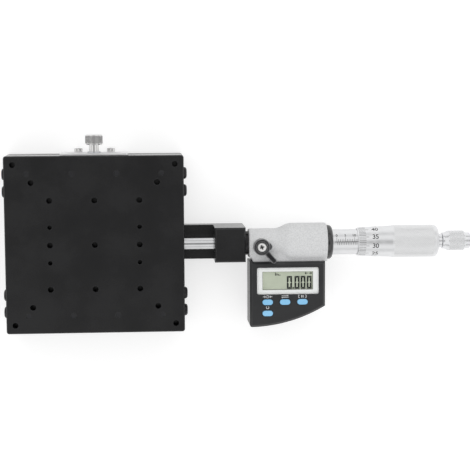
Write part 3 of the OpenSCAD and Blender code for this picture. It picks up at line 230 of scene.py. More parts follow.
def lathe_rings(tree, axis, size_mm):
    """Noise that changes along one axis only, as the marks of a turning tool do."""
    where = add(tree, "TexCoord")
    split = add(tree, "SeparateXYZ")
    rings = add(tree, "TexNoise", {"Scale": 1 / (size_mm * mm), "Detail": 3.0}, noise_dimensions="1D")
    join(tree, (where.outputs["Object"], split.inputs[0]), (split.outputs[axis], rings.inputs["W"]))
    return rings.outputs["Fac"]


def spread(tree, value, low, high):
    """Stretches a noise, which mostly lies between 0.3 and 0.7, over low to high."""
    made = add(tree, "MapRange", {"From Min": 0.3, "From Max": 0.7, "To Min": low, "To Max": high})
    join(tree, (value, made.inputs["Value"]))
    return made.outputs[0]


def tones(tree, value, dark, light):
    """A colour between dark and light. Each is three numbers."""
    made = add(tree, "Mix", {6: (*dark, 1), 7: (*light, 1)}, data_type="RGBA")
    join(tree, (value, made.inputs["Factor"]))
    return made.outputs[2]


def relief(tree, shader, height, depth_mm, upon=None):
    """Raises the surface by height times depth_mm, upon another relief if there is one."""
    made = add(tree, "Bump", {"Distance": depth_mm * mm, "Strength": 1.0})
    join(tree, (height, made.inputs["Height"]), (made.outputs[0], shader.inputs["Normal"]))
    if upon:
        join(tree, (upon, made.inputs["Normal"]))
    return made.outputs[0]


def soft_edges(tree, radius_mm):
    """The surface's normal, rounded over near every edge as if it had that radius."""
    return add(tree, "Bevel", {"Radius": radius_mm * mm}, samples=6).outputs[0]


def worn_edges(tree, rounded):
    """1 along outer and inner edges and 0 on open faces, from how far a rounded normal leans."""
    flat = add(tree, "NewGeometry")
    lean = add(tree, "VectorMath", operation="DOT_PRODUCT")
    made = add(tree, "MapRange", {"From Min": 0.985, "From Max": 0.86})
    join(tree, (rounded, lean.inputs[0]), (flat.outputs["Normal"], lean.inputs[1]),
         (lean.outputs["Value"], made.inputs["Value"]))
    return made.outputs[0]


def facing_up(tree):
    """The Z of the piece's own normal: 1 facing up, 0 on an upright side and -1 facing down."""
    where = add(tree, "TexCoord")
    split = add(tree, "SeparateXYZ")
    join(tree, (where.outputs["Normal"], split.inputs[0]))
    return split.outputs["Z"]


def blend_colour(tree, amount, first, second):
    """Mixes two colour sockets by amount. Second may be three plain numbers."""
    made = add(tree, "Mix", data_type="RGBA")
    if isinstance(second, tuple):
        made.inputs[7].default_value = (*second, 1)
    else:
        join(tree, (second, made.inputs[7]))
    join(tree, (amount, made.inputs["Factor"]), (first, made.inputs[6]))
    return made.outputs[2]


def coat(tree, shader, colour, roughness):
    """Gives the shader its colour and its roughness."""
    join(tree, (colour, shader.inputs["Base Color"]), (roughness, shader.inputs["Roughness"]))


# %% [markdown]
# ## Black anodised aluminium
# The base, the table and the bracket are milled from aluminium plate, blasted with fine beads
# and dyed black in the anodising bath. The oxide is hard and slightly glossy, with a grit of
# about a tenth of a millimetre, broad clouds where the dye took unevenly, and edges that show
# paler because the layer is thin and gets rubbed there. The edge mask multiplies a patchy noise
# so that the wear comes and goes along an edge. The upright sides are cut by the flank of the
# milling cutter, which leaves them smoother than the tops, so the Z of the normal adds roughness.

# %% Anodised plate
anodised, tree, shader = finish("anodised_black", Metallic=0.0, Specular_IOR_Level=0.44)
clouds = spread(tree, grain(tree, 22, 3), 0, 1)
grit = grain(tree, 0.16, 2)
edges = soft_edges(tree, 0.30)
wear_and_highlight = sums(tree, "MULTIPLY", worn_edges(tree, edges), spread(tree, grain(tree, 3.0, 3), 0.05, 0.75))
black = tones(tree, clouds, (0.0070, 0.0070, 0.0075), (0.0115, 0.0115, 0.0122))
level = sums(tree, "MULTIPLY", sums(tree, "ABSOLUTE", facing_up(tree)), 0.11)
matt = sums(tree, "ADD", spread(tree, clouds, 0.12, 0.16), spread(tree, grit, -0.03, 0.04))
coat(tree, shader, blend_colour(tree, wear_and_highlight, black, (0.085, 0.086, 0.09)), sums(tree, "ADD", matt, level))
relief(tree, shader, grit, 0.003, edges)

# %% [markdown]
# ## Blackened screws and the ring nut
# Alloy steel screws are blackened in a hot salt bath. The layer is thin, so steel shines
# through it in places, and it is a metal in the shader. The finish has a faint blue-brown drift.
# The clamp's lever gets the same bath after it is burnished. Its roundings are painted bright:
# a painted highlight that stands in for the light lines they catch. A rounding is where the
# surface neither faces up nor stands upright, so the Z of its own normal picks it out, through a
# ramp that is white in the middle.

# %% Blackened steel
blackened, tree, shader = finish("blackened_steel", Metallic=0.85)
drift = grain(tree, 1.6, 3)
pits = grain(tree, 0.12, 2)
coat(tree, shader, tones(tree, spread(tree, drift, 0, 1), (0.018, 0.018, 0.021), (0.05, 0.047, 0.046)),
     spread(tree, pits, 0.27, 0.45))
relief(tree, shader, pits, 0.004)

# %% Burnished clamp lever
burnished, tree, shader = finish("burnished_black", Metallic=1.0)
rounding = add(tree, "ValToRGB")
rounding.color_ramp.elements[0].position, rounding.color_ramp.elements[1].position = 0.12, 0.97
for rise in (0.40, 0.80):
    rounding.color_ramp.elements.new(rise).color = (1, 1, 1, 1)
rounding.color_ramp.elements[0].color = rounding.color_ramp.elements[-1].color = (0, 0, 0, 1)
drift = spread(tree, grain(tree, 2.2, 3), 0, 1)
# Painted highlight on the lever's roundings, patchy along them
wear_and_highlight = sums(tree, "MULTIPLY", rounding.outputs["Color"], spread(tree, grain(tree, 1.8, 3), 0.5, 1.0))
dark = tones(tree, drift, (0.035, 0.035, 0.037), (0.065, 0.065, 0.068))
join(tree, (facing_up(tree), rounding.inputs["Fac"]))
coat(tree, shader, blend_colour(tree, wear_and_highlight, dark, (0.50, 0.50, 0.51)),
     spread(tree, grain(tree, 0.15, 2), 0.16, 0.26))
relief(tree, shader, drift, 0.006)

# %% [markdown]
# ## Bare steels
# The rails are ground lengthwise, so their grain is drawn out sixty times along x. The side
# plate that carries the table's lock is brushed stainless sheet with the same idea in a coarser
# grain. Small turned steel parts have no direction that would be seen, so they get an even one.
# The roller cages and the encoder's rotor are cut from rolled brass, which is the same recipe in
# another colour.

# %% Ground, brushed and rolled metal
def bare_metal(name, tone, stretch, size_mm, shine, depth_mm):
    """A bare metal with lines of size_mm drawn out by stretch, and roughness between two values."""
    made, tree, shader = finish(name, Metallic=1.0)
    lines = grain(tree, size_mm, 3, stretch)
    patches = spread(tree, grain(tree, 7, 3), 0, 1)
    coat(tree, shader, tones(tree, patches, tuple(0.88 * c for c in tone), tone),
         sums(tree, "ADD", spread(tree, lines, *shine), spread(tree, patches, -0.02, 0.02)))
    relief(tree, shader, lines, depth_mm)
    return made


ground_rail = bare_metal("ground_rail_steel", (0.44, 0.45, 0.47), (60, 1, 1), 0.09, (0.22, 0.36), 0.003)
brushed_sheet = bare_metal("brushed_sheet", (0.95, 0.95, 0.955), (40, 1, 1), 0.10, (0.32, 0.46), 0.004)
plain_steel = bare_metal("turned_steel", (0.66, 0.67, 0.69), (1, 1, 1), 0.25, (0.20, 0.34), 0.003)
screw_tips = bare_metal("oiled_screw_steel", (0.055, 0.055, 0.058), (1, 1, 1), 0.3, (0.30, 0.45), 0.004)
roller_steel = bare_metal("roller_steel", (0.72, 0.73, 0.75), (1, 1, 1), 0.5, (0.07, 0.13), 0.001)
brass = bare_metal("rolled_brass", (0.72, 0.53, 0.26), (30, 1, 1), 0.12, (0.24, 0.38), 0.003)

# %% [markdown]
# ## Chrome, nickel and the ground spindle
# The sleeve and the thimble are satin chrome over fine turning marks, the ratchet is brighter,
# and the spindle is ground and lapped. All of these are one recipe: rings along the axis of the
# lathe for the relief and the roughness, and a slow patchiness for handling marks. The satin
# pieces differ from the bright ones mostly by their roughness and the depth of the rings. A
# knurl's grooves get painted shade. The knurled pieces carry an attribute that is 1 at the
# tips and 0 in the grooves, and the plate is mixed darker by it in the grooves.

# %% Plated finishes
def plated(name, tone, axis, ring_mm, shine, depth_mm, groove_shade=None):
    """A plated or ground bar with turning rings along that axis, and painted shade in knurled grooves."""
    made, tree, shader = finish(name, Metallic=1.0)
    rings = lathe_rings(tree, axis, ring_mm)
    handled = spread(tree, grain(tree, 4.5, 4), 0, 1)
    fine = grain(tree, 0.11, 2)
    colour = tones(tree, handled, tuple(0.93 * c for c in tone), tone)
    # Painted shade in the knurl's grooves
    if groove_shade:
        raised = add(tree, "Attribute", attribute_name="raised")
        colour = blend_colour(tree, sums(tree, "SUBTRACT", 1.0, raised.outputs["Fac"]), colour,
                              tuple(groove_shade * c for c in tone))
    coat(tree, shader, colour,
         sums(tree, "ADD", spread(tree, rings, *shine), spread(tree, handled, 0.0, 0.035)))
    relief(tree, shader, fine, depth_mm, relief(tree, shader, rings, depth_mm))
    return made


satin_chrome = plated("satin_chrome", (0.84, 0.845, 0.855), "X", 0.20, (0.30, 0.38), 0.0016)
bright_chrome = plated("bright_chrome", (0.82, 0.825, 0.84), "X", 0.35, (0.12, 0.19), 0.0010)
lapped_spindle = plated("lapped_spindle", (0.68, 0.685, 0.695), "X", 0.12, (0.12, 0.18), 0.0006)
nickel = plated("nickel_plate", (0.76, 0.755, 0.75), "Y", 0.25, (0.08, 0.14), 0.0012)
satin_knurl = plated("satin_knurl", (0.97, 0.975, 0.98), "X", 0.20, (0.28, 0.36), 0.0012, 0.74)
bright_knurl = plated("bright_knurl", (0.95, 0.955, 0.965), "X", 0.20, (0.20, 0.28), 0.0012, 0.66)
nickel_knurl = plated("nickel_knurl", (0.68, 0.675, 0.67), "Y", 0.20, (0.16, 0.24), 0.0012, 0.06)

# %% [markdown]
# ## Grey enamel on the frame casting
# The micrometer's frame is a casting under a light grey stoved enamel. Its skin has a fine,
# rounded pebble from the spray, under half a millimetre across, and a broader waviness from the
# casting below. Two sizes of noise mottle the grey, a fine one and one of three quarters of a
# millimetre, because sprayed paint dries thicker in the hollows of the sand-cast skin. A little
# of the metal shows at rubbed edges.

# %% Enamel
enamel, tree, shader = finish("grey_enamel", Metallic=0.0, Specular_IOR_Level=0.45)
edges = soft_edges(tree, 0.35)
pebble = add(tree, "TexVoronoi", {"Scale": 1 / (0.42 * mm), "Randomness": 1.0}, feature="SMOOTH_F1")
where = add(tree, "TexCoord")
wave = grain(tree, 5.0, 2)
speck = grain(tree, 0.16, 2)
mottle = spread(tree, grain(tree, 0.75, 3), 0, 1)
join(tree, (where.outputs["Object"], pebble.inputs["Vector"]))
shade = sums(tree, "ADD", sums(tree, "MULTIPLY", spread(tree, speck, 0, 1), 0.4),
             sums(tree, "MULTIPLY", mottle, 0.6))
grey = tones(tree, shade, (0.55, 0.555, 0.56), (0.83, 0.835, 0.84))
wear_and_highlight = sums(tree, "MULTIPLY", worn_edges(tree, edges), 0.3)
coat(tree, shader, blend_colour(tree, wear_and_highlight, grey, (0.76, 0.76, 0.77)), spread(tree, speck, 0.40, 0.54))
relief(tree, shader, pebble.outputs["Distance"], 0.045, relief(tree, shader, wave, 0.02, edges))

# %% [markdown]
# ## Moulded plastics
# The display's shell is charcoal plastic from a spark-eroded mould, so its skin is a fine, even
# sand. The end ring is glossy black, the surround of the display is smooth white and the keys are
# a clear sky blue. One recipe serves all of them, the circuit board and the port's rubber cover
# as well, with a sand size, a depth and a gloss for each.

# %% Plastics
def moulded(name, dark, light, gloss, sand_mm, depth_mm, edge=None, rounding_mm=0.3, sheen=0.5):
    """A moulded plastic between two tones, with a sand texture and roughness between two values."""
    made, tree, shader = finish(name, Metallic=0.0, Specular_IOR_Level=sheen)
    sand = grain(tree, sand_mm, 2)
    flow = spread(tree, grain(tree, 9, 2), 0, 1)
    colour = tones(tree, flow, dark, light)
    edges = soft_edges(tree, rounding_mm)
    if edge:
        worn = sums(tree, "MULTIPLY", worn_edges(tree, edges), spread(tree, grain(tree, 2.5, 2), 0.2, 0.9))
        colour = blend_colour(tree, worn, colour, edge)
    coat(tree, shader, colour, spread(tree, sand, *gloss))
    relief(tree, shader, sand, depth_mm, edges)
    return made


charcoal = moulded("charcoal_shell", (0.0165, 0.017, 0.018), (0.0225, 0.023, 0.0245), (0.27, 0.37),
                   0.22, 0.007, (0.075, 0.076, 0.08))
gloss_black = moulded("gloss_black", (0.010, 0.010, 0.011), (0.014, 0.014, 0.015), (0.10, 0.18),
                      0.4, 0.002, (0.05, 0.05, 0.052), 0.4, 0.95)
white_surround = moulded("white_surround", (0.97, 0.97, 0.96), (1.0, 1.0, 0.99), (0.28, 0.38), 0.3, 0.003)
sky_key = moulded("sky_blue_key", (0.24, 0.56, 0.86), (0.30, 0.63, 0.93), (0.26, 0.36), 0.25, 0.004)
board = moulded("printed_board", (0.02, 0.10, 0.045), (0.035, 0.15, 0.06), (0.28, 0.45), 0.7, 0.01)
rubber = moulded("black_rubber", (0.012, 0.012, 0.012), (0.02, 0.02, 0.02), (0.62, 0.8), 0.2, 0.01)

# %% [markdown]
# ## The display's glass and its window
# A liquid crystal display is a grey-green glass with a faint horizontal rubbing grain. Over it
# sits a clear acrylic window. A window this thin bends nothing that can be seen, so it is a
# transparent surface that turns glossy towards grazing angles, with fine wipe marks in its
# roughness. A Fresnel node would take the pane's lower face for the inside of solid glass and
# turn slanting light back, so Layer Weight's Facing, raised to a power, does the same job here.

# %% Display glass and window
lcd_glass, tree, shader = finish("display_glass", Metallic=0.0, Specular_IOR_Level=0.35)
cells = grain(tree, 0.14, 1, (6, 1, 1))
haze = spread(tree, grain(tree, 8, 2), 0, 1)
coat(tree, shader, tones(tree, haze, (0.56, 0.60, 0.475), (0.61, 0.65, 0.52)),
     spread(tree, cells, 0.22, 0.34))
relief(tree, shader, cells, 0.001)

window_clear = bpy.data.materials.new("clear_window")
window_clear.use_nodes = True
tree = window_clear.node_tree
tree.nodes.remove(tree.nodes["Principled BSDF"])
through = add(tree, "BsdfTransparent", {"Color": (0.99, 0.995, 0.995, 1)})
mirror = add(tree, "BsdfGlossy", {"Color": (1, 1, 1, 1)})
turned = add(tree, "LayerWeight", {"Blend": 0.5})
glossy = add(tree, "MapRange", {"To Min": 0.03, "To Max": 0.85})
pane = add(tree, "MixShader")
wiped = grain(tree, 0.6, 3, (12, 1, 1))
join(tree, (spread(tree, wiped, 0.02, 0.09), mirror.inputs["Roughness"]),
     (sums(tree, "POWER", turned.outputs["Facing"], 5.0), glossy.inputs["Value"]),
     (glossy.outputs[0], pane.inputs[0]), (through.outputs[0], pane.inputs[1]),
     (mirror.outputs[0], pane.inputs[2]), (pane.outputs[0], tree.nodes["Material Output"].inputs["Surface"]))

# %% [markdown]
# ## Inks
# The scales are engraved and filled with black paint, and the legends by the keys are printed
# in white. Both are thin coats, so they get a slightly uneven coverage and a dull skin. The dark
# segments of the display are written the same way.

# %% Inks
def ink(name, dark, light, gloss):
    """Paint or print in a thin coat."""
    made, tree, shader = finish(name, Metallic=0.0, Specular_IOR_Level=0.3)
    cover = grain(tree, 0.09, 2)
    coat(tree, shader, tones(tree, spread(tree, cover, 0, 1), dark, light), spread(tree, cover, *gloss))
    relief(tree, shader, cover, 0.002)
    return made


scale_black = ink("scale_black", (0.012, 0.012, 0.013), (0.035, 0.035, 0.037), (0.4, 0.6))
legend_white = ink("legend_white", (0.62, 0.63, 0.64), (0.80, 0.80, 0.80), (0.45, 0.6))
crystal_black = ink("crystal_black", (0.002, 0.003, 0.002), (0.005, 0.006, 0.005), (0.25, 0.35))

# %% [markdown]
# ## Which node takes which finish
# The construction's nodes keep their shapes, and only their material slots change.

# %% Dress the nodes
dressing = [
    (anodised, "base_plate table_plate bracket"),
    (blackened, "base_rail_screws base_end_screws bracket_screws stem_set_screw stem_collar "
                "table_end_screws preload_screws drive_block_screws display_screws"),
    (screw_tips, "table_rail_screws"),
    (ground_rail, "base_rail_front base_rail_rear table_rail_front table_rail_rear drive_block"),
    (plain_steel, "lock_washer base_spring_pins table_spring_pins return_springs clamp_pin battery stem "
                  "adjusting_nut inner_sleeve"),
    (brushed_sheet, "lock_plate"),
    (roller_steel, "rollers_front rollers_rear drive_pad"),
    (lapped_spindle, "spindle"),
    (satin_chrome, "sleeve thimble"),
    (bright_chrome, "ratchet_post ratchet_knob ratchet_cap"),
    (nickel, "lock_screw lever_screw lock_plate_screws"),
    (brass, "cage_front cage_rear encoder_rotor"),
    (enamel, "micrometer_frame"),
    (gloss_black, "end_ring"),
    (burnished, "lock_lever"),
    (charcoal, "display_housing display_back battery_cover"),
    (white_surround, "lcd_bezel"),
    (window_clear, "lcd_window"),
    (lcd_glass, "lcd_panel"),
    (sky_key, "button_zero button_unit button_hold button_power"),
    (board, "circuit_board encoder_stator"),
    (rubber, "data_port_cover"),
]
for material, names in dressing:
    for name in names.split():
        slots = nodes[name].material_slots
        if not slots:
            nodes[name].data.materials.append(material)
        for part_slot in slots:
            part_slot.material = material
undressed = set(nodes) - {name for _, names in dressing for name in names.split()}
print("nodes without a finish:", sorted(undressed))

# %% [markdown]
# ## Tools for making pieces
# A piece is made in a bmesh, in millimetres turned to metres where its first points are set, and
# then handed over once: it becomes an object at the origin, gets its finish and rides on the body
# that carries it. Faces are shaded smooth, and edges that bend more than the crease angle stay
# sharp.

# %% Hand a bmesh over as a piece
def in_order(bm):
    """Sorts corners, edges and faces by place, because some operators leave them in any order."""
    slant = Vector((1.0, 0.6180, 0.2713))          # no two corners are likely to tie along this
    bm.verts.sort(key=lambda v: v.co.dot(slant))
    bm.edges.sort(key=lambda e: (e.verts[0].co + e.verts[1].co).dot(slant))
    bm.faces.sort(key=lambda f: f.calc_center_median().dot(slant))


def piece(bm, name, material, body, crease=35):
    """Makes the bmesh a piece with that finish, riding on a body if one is given."""
    mesh = bpy.data.meshes.new(name)
    in_order(bm)
    bm.to_mesh(mesh)
    bm.free()
    mesh.shade_smooth()
    mesh.set_sharp_from_angle(angle=math.radians(crease))
    mesh.materials.append(material)
    made = bpy.data.objects.new(name, mesh)
    bpy.context.scene.collection.objects.link(made)
    if body:
        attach(made, body)
    print(name, len(mesh.polygons), "faces, rides on", body or "two bodies")
    return made


def made_of(result, kind):
    """The corners or the edges among what an operator made."""
    return [g for g in result["geom"] if isinstance(g, kind)]


def full_turn(bm, line, point, along, steps):
    """Spins corners and edges all the way round an axis through a point in mm."""
    bmesh.ops.spin(bm, geom=line, cent=Vector(point) * mm, axis=along, dvec=(0, 0, 0),
                   angle=2 * math.pi, steps=steps, use_merge=True)


def thicken(bm, thickness):
    """Gives flat marks a thickness in mm, with all faces outwards."""
    bmesh.ops.solidify(bm, geom=bm.faces[:], thickness=thickness * mm)
    bmesh.ops.recalc_face_normals(bm, faces=bm.faces)


def mesh_of(curve):
    """The mesh of a curve or a text, taken from an object that is deleted again."""
    holder = bpy.data.objects.new(curve.name, curve)
    bpy.context.scene.collection.objects.link(holder)
    bpy.context.view_layer.update()
    made = bpy.data.meshes.new_from_object(holder.evaluated_get(bpy.context.evaluated_depsgraph_get()))
    bpy.data.objects.remove(holder)
    return made


# The micrometer's axis runs along x through this point, in mm
axis_y, axis_z = -1.2, 16.5
head_axis = Vector((0, axis_y, axis_z))
forwards, upwards = (1, 0, 0), (0, 0, 1)


def round_about(point, along, out, radius, angle):
    """The point at that angle and radius about an axis, in metres. Out is where the angle is 0."""
    side = Vector(along).cross(Vector(out))
    return (Vector(point) + radius * (math.cos(angle) * Vector(out) + math.sin(angle) * side)) * mm


def on_head(x, radius, turn):
    """The point on the micrometer at x, that radius and that angle from straight up, in metres."""
    return round_about(head_axis + Vector((x, 0, 0)), forwards, upwards, radius, turn)


def face_out(bm):
    """Turns every face so that it looks away from the micrometer's axis."""
    for face in bm.faces:
        out = face.calc_center_median() - head_axis * mm
        out.x = 0
        face.normal_update()
        if face.normal.dot(out) < 0:
            face.normal_flip()


# %% [markdown]
# ## Knurling
# A diamond knurl is rolled in by two wheels with crossed grooves, which leaves rows of small
# pyramids. Here a flat grid is wrapped round the bar. Every second corner of it is raised, and
# each square is split between its two low corners, so that the low lines become the grooves and
# each raised corner the tip of a pyramid. The first and last rows lie lower than the bar's own
# skin, so that the band grows out of it. The seam's corners fall together and are merged.

# %% Wrap a knurled band round a bar
sunk = 0.12                # how far the first and last rows lie under the grooves
seam = 0.002               # corners closer than this are the same one


def knurled_band(name, material, body, start, along, length, low, high, rows, around):
    """A band of pyramids from the point start, with grooves at radius low and tips at high."""
    bm = bmesh.new()
    bmesh.ops.create_grid(bm, x_segments=2 * rows, y_segments=2 * around, size=1.0)
    tip = bm.verts.layers.float.new("raised")
    columns, turns = 2 * rows, 2 * around
    for v in bm.verts:
        i, j = round((v.co.x + 1) / 2 * columns), round((v.co.y + 1) / 2 * turns)
        edge = i in (0, columns)
        v[tip] = (i + j) % 2 == 1 and not edge
        radius = high if v[tip] else low - (sunk if edge else 0.0)
        point = Vector(start) + Vector(along) * (length * i / columns)
        v.co = round_about(point, along, upwards, radius, 2 * math.pi * j / turns)
    for face in list(bm.faces):
        lows = [v for v in face.verts if not v[tip]]
        if len(lows) == 2:
            bmesh.utils.face_split(face, *lows)
    bmesh.ops.remove_doubles(bm, verts=bm.verts, dist=seam * mm)
    bmesh.ops.recalc_face_normals(bm, faces=bm.faces)
    piece(bm, name, material, body, crease=8)


knurled_band("thimble_knurl", satin_knurl, "spindle", (169.9, axis_y, axis_z), forwards,
             length=23.9, low=9.09, high=9.26, rows=22, around=56)
knurled_band("ratchet_knurl", bright_knurl, "ratchet", (202.5, axis_y, axis_z), forwards,
             length=9.2, low=5.64, high=5.78, rows=11, around=36)
knurled_band("thumb_screw_knurl", nickel_knurl, "lock_screw", (0, 56.05, 18), (0, 1, 0),
             length=4.9, low=4.79, high=4.95, rows=5, around=22)

# %% [markdown]
# The two screws that hold the lock plate have smaller knurled heads. A head this small gets a
# straight knurl: a ring of short edges is lifted at every second corner, extruded along the
# head, and its front is chamfered.

# %% Straight knurl on the plate screws
def ridged_ring(bm, point, along, length, low, high, ridges):
    """A ring of ridges that run along its axis, from the point over the length."""
    rim = [bm.verts.new(round_about(point, along, upwards, high if k % 2 else low, math.pi * k / ridges))
           for k in range(2 * ridges)]
    edges = [bm.edges.new((a, b)) for a, b in zip(rim, rim[1:] + rim[:1])]
    # Three steps along the head: a short start, the ridges, and the chamfer, which also goes inwards
    for depth, inward in ((0.15, 0.0), (length - 0.35, 0.0), (0.2, 0.16)):
        edges = made_of(bmesh.ops.extrude_edge_only(bm, edges=edges), bmesh.types.BMEdge)
        for v in {v for e in edges for v in e.verts}:
            v.co += Vector(along) * depth * mm
            middle = Vector(point) * mm
            radial = v.co - middle - Vector(along) * (v.co - middle).dot(Vector(along))
            v.co -= radial.normalized() * inward * mm


bm = bmesh.new()
for x in (-9.2, 9.2):
    ridged_ring(bm, Vector((x, 51.0, 7.0)), (0, 1, 0), length=2.15, low=2.29, high=2.42, ridges=20)
bmesh.ops.recalc_face_normals(bm, faces=bm.faces)
piece(bm, "plate_screw_knurl", nickel, "base", crease=25)

# %% [markdown]
# ## Threads in the tapped holes
# The table is drilled and tapped on a grid, so that parts can be bolted to it. In each hole a
# thread is a groove that climbs round the wall. One pitch of its outline, a root between two
# crests, is spun round the hole's axis while it is carried down by one pitch a turn, which is what
# the spin's dvec does. A short countersink at the mouth catches the light as a thin bright
# crescent. All the holes of a size are copies of one thread, in one piece.

# %% Cut the threads
stage_top = 28.0
hole_depth = 6.0
mouth_depth = 0.5          # the countersink
plain_end = 0.6            # left without thread, the countersink counted in


def tapped_hole(bm, x, y, root, crest, pitch, steps=20):
    """A countersink and a climbing thread inside a hole whose wall is at the root radius."""
    start = stage_top - mouth_depth
    mouth = [bm.verts.new(Vector((x + r, y, z)) * mm)
             for r, z in ((root, stage_top - 0.01), (crest + 0.03, stage_top - 0.32), (crest, start))]
    lines = [bm.edges.new(pair) for pair in zip(mouth, mouth[1:])]
    full_turn(bm, mouth + lines, (x, y, 0), upwards, steps)
    turns = int((hole_depth - plain_end) / pitch)
    profile = [bm.verts.new(Vector((x + r, y, start - z)) * mm)
               for r, z in ((crest, 0.0), (root, 0.45 * pitch), (root, 0.55 * pitch), (crest, pitch))]
    lines = [bm.edges.new(pair) for pair in zip(profile, profile[1:])]
    bmesh.ops.spin(bm, geom=profile + lines, cent=Vector((x, y, 0)) * mm, axis=upwards,
                   dvec=(0, 0, -pitch * mm / steps), angle=2 * math.pi * turns, steps=steps * turns)


four_mm_holes = [(x, y) for x in (-25, 0, 25) for y in (-25, 0, 25)]
four_mm_holes += [(sx * r, sy * r) for r in (35, 45) for sx in (-1, 1) for sy in (-1, 1)]
three_mm_holes = [(x, y) for x in (-25, 25) for y in (-10, 10)]
for name, holes, root, crest, pitch in (("table_threads_m4", four_mm_holes, 1.685, 1.5, 0.7),
                                        ("table_threads_m3", three_mm_holes, 1.285, 1.13, 0.5)):
    bm = bmesh.new()
    for x, y in holes:
        tapped_hole(bm, x, y, root, crest, pitch)
    bmesh.ops.remove_doubles(bm, verts=bm.verts, dist=0.0005 * mm)
    for face in bm.faces:
        middle = face.calc_center_median()
        nearest = min(holes, key=lambda h: (h[0] * mm - middle.x) ** 2 + (h[1] * mm - middle.y) ** 2)
        inward = Vector((nearest[0] * mm - middle.x, nearest[1] * mm - middle.y, 0))
        if face.normal.dot(inward) < 0:
            face.normal_flip()
    piece(bm, name, anodised, "table")

# %% [markdown]
# ## The sleeve's scale
# The fixed sleeve is divided along its reference line. Whole millimetres stand on one side of
# the line and half millimetres on the other, and every fifth millimetre has a longer mark and a
# number. Each mark is an arc round the sleeve, so a short edge that lies along the axis is spun
# through the mark's angle. The marks are a hundredth of a millimetre of paint above the chrome.

# %% Marks round the sleeve
sleeve_r = 7.2
line_turn = -0.095          # the reference line leans a little to the back
sleeve_zero = 137.1
sleeve_mm = 25              # millimetres on the scale
paint = 0.012
mark_width = 0.18
short_arc, long_arc = 0.24, 0.36          # radians


def arc_mark(bm, x, width, first, last, steps=10):
    """A painted arc round the sleeve, between two angles from straight up."""
    ends = [bm.verts.new(on_head(x + s * width / 2, sleeve_r + paint, first)) for s in (-1, 1)]
    edge = bm.edges.new(ends)
    bmesh.ops.spin(bm, geom=ends + [edge], cent=head_axis * mm, axis=forwards, dvec=(0, 0, 0),
                   angle=last - first, steps=steps)


bm = bmesh.new()
for k in range(sleeve_mm + 1):
    arc_mark(bm, sleeve_zero + k, mark_width, line_turn, line_turn - (short_arc if k % 5 else long_arc))
for k in range(sleeve_mm):
    arc_mark(bm, sleeve_zero + k + 0.5, mark_width, line_turn, line_turn + short_arc)
arc_mark(bm, sleeve_zero + sleeve_mm / 2, 27.6, line_turn - 0.02, line_turn + 0.02, 2)
face_out(bm)
piece(bm, "sleeve_scale", scale_black, "base")

# %% [markdown]
# ## The thimble's scale and the numbers
# The thimble's taper carries fifty marks, one for each hundredth of a millimetre of a half
# millimetre screw. They lie along the taper, so each one is a small plate that is made flat and
# then stood on the cone: its corners are put at the cone's own radius. Numbers stand at every
# fifth mark, beyond the marks, and read along the axis.
# A number starts as a text curve. It is made a mesh first, cut into narrow strips so that it can
# bend, and then each point is wrapped: its height above the number's middle becomes an angle.

# %% Marks on the thimble
taper_x0, taper_x1 = 149.9, 169.4
taper_r0, taper_r1 = 8.0, 8.95
divisions = 50
division = 2 * math.pi / divisions
marks_x, short_x, long_x = 150.0, 153.9, 155.6          # where the marks begin and end
thirty_turn = line_turn + 2.4 * division      # where the thirty stands, just past the reference line


def taper_radius(x):
    """The radius of the thimble's taper at x, in mm."""
    return taper_r0 + (taper_r1 - taper_r0) * (x - taper_x0) / (taper_x1 - taper_x0)


half_mark = mark_width / 2 / taper_radius(151)          # as an angle


def on_taper(x, turn):
    """A point of paint on the thimble's taper, in metres."""
    return on_head(x, taper_radius(x) + paint, turn)


bm = bmesh.new()
for k in range(divisions):
    turn = thirty_turn + k * division
    ends = [bm.verts.new(on_taper(marks_x, turn + s * half_mark)) for s in (-1, 1)]
    edge = bm.edges.new(ends)
    moved = made_of(bmesh.ops.extrude_edge_only(bm, edges=[edge]), bmesh.types.BMVert)
    for v, s in zip(moved, (-1, 1)):
        v.co = on_taper(short_x if k % 5 else long_x, turn + s * half_mark)
face_out(bm)
piece(bm, "thimble_scale", scale_black, "spindle")


# %% Numbers wrapped round a bar
figure_share = 0.69        # a figure's height as a share of the letter size
boldness = 0.02            # how far the outline grows, as a share of the height
cuts = 4                   # on each side of a number's middle, a strip apart
thimble_number_x, thimble_number_h = 159.3, 2.6
sleeve_number_turn, sleeve_number_h = line_turn - 0.53, 1.5


def wrapped_number(bm, text, x, turn, height, radius_at):
    """Adds a number to bm, centred at x and at that angle, wrapped round the head's axis."""
    letters = bpy.data.curves.new("number", "FONT")
    letters.body = text
    letters.size = height / figure_share * mm
    letters.align_x, letters.align_y = "CENTER", "CENTER"
    letters.offset = boldness * height * mm
    flat = mesh_of(letters)
    strips = bmesh.new()
    strips.from_mesh(flat)
    bpy.data.meshes.remove(flat)
    for k in range(-cuts, cuts + 1):
        bmesh.ops.bisect_plane(strips, geom=strips.verts[:] + strips.edges[:] + strips.faces[:],
                               plane_co=(0, k * height / (2 * cuts) * mm, 0), plane_no=(0, 1, 0))
    for v in strips.verts:
        place = x + v.co.x / mm
        radius = radius_at(place) + paint
        v.co = on_head(place, radius, turn - v.co.y / mm / radius)
    finished = bpy.data.meshes.new("wrapped")
    strips.to_mesh(finished)
    strips.free()
    bm.from_mesh(finished)
    bpy.data.meshes.remove(finished)


bm = bmesh.new()
for k in range(0, divisions, 5):
    wrapped_number(bm, str(k), thimble_number_x, thirty_turn - (k - 30) * division, thimble_number_h,
                   taper_radius)
face_out(bm)
piece(bm, "thimble_numbers", scale_black, "spindle")

bm = bmesh.new()
for k in range(0, sleeve_mm + 1, 5):
    wrapped_number(bm, str(k), sleeve_zero + k, sleeve_number_turn, sleeve_number_h, lambda x: sleeve_r)
face_out(bm)
piece(bm, "sleeve_numbers", scale_black, "base")
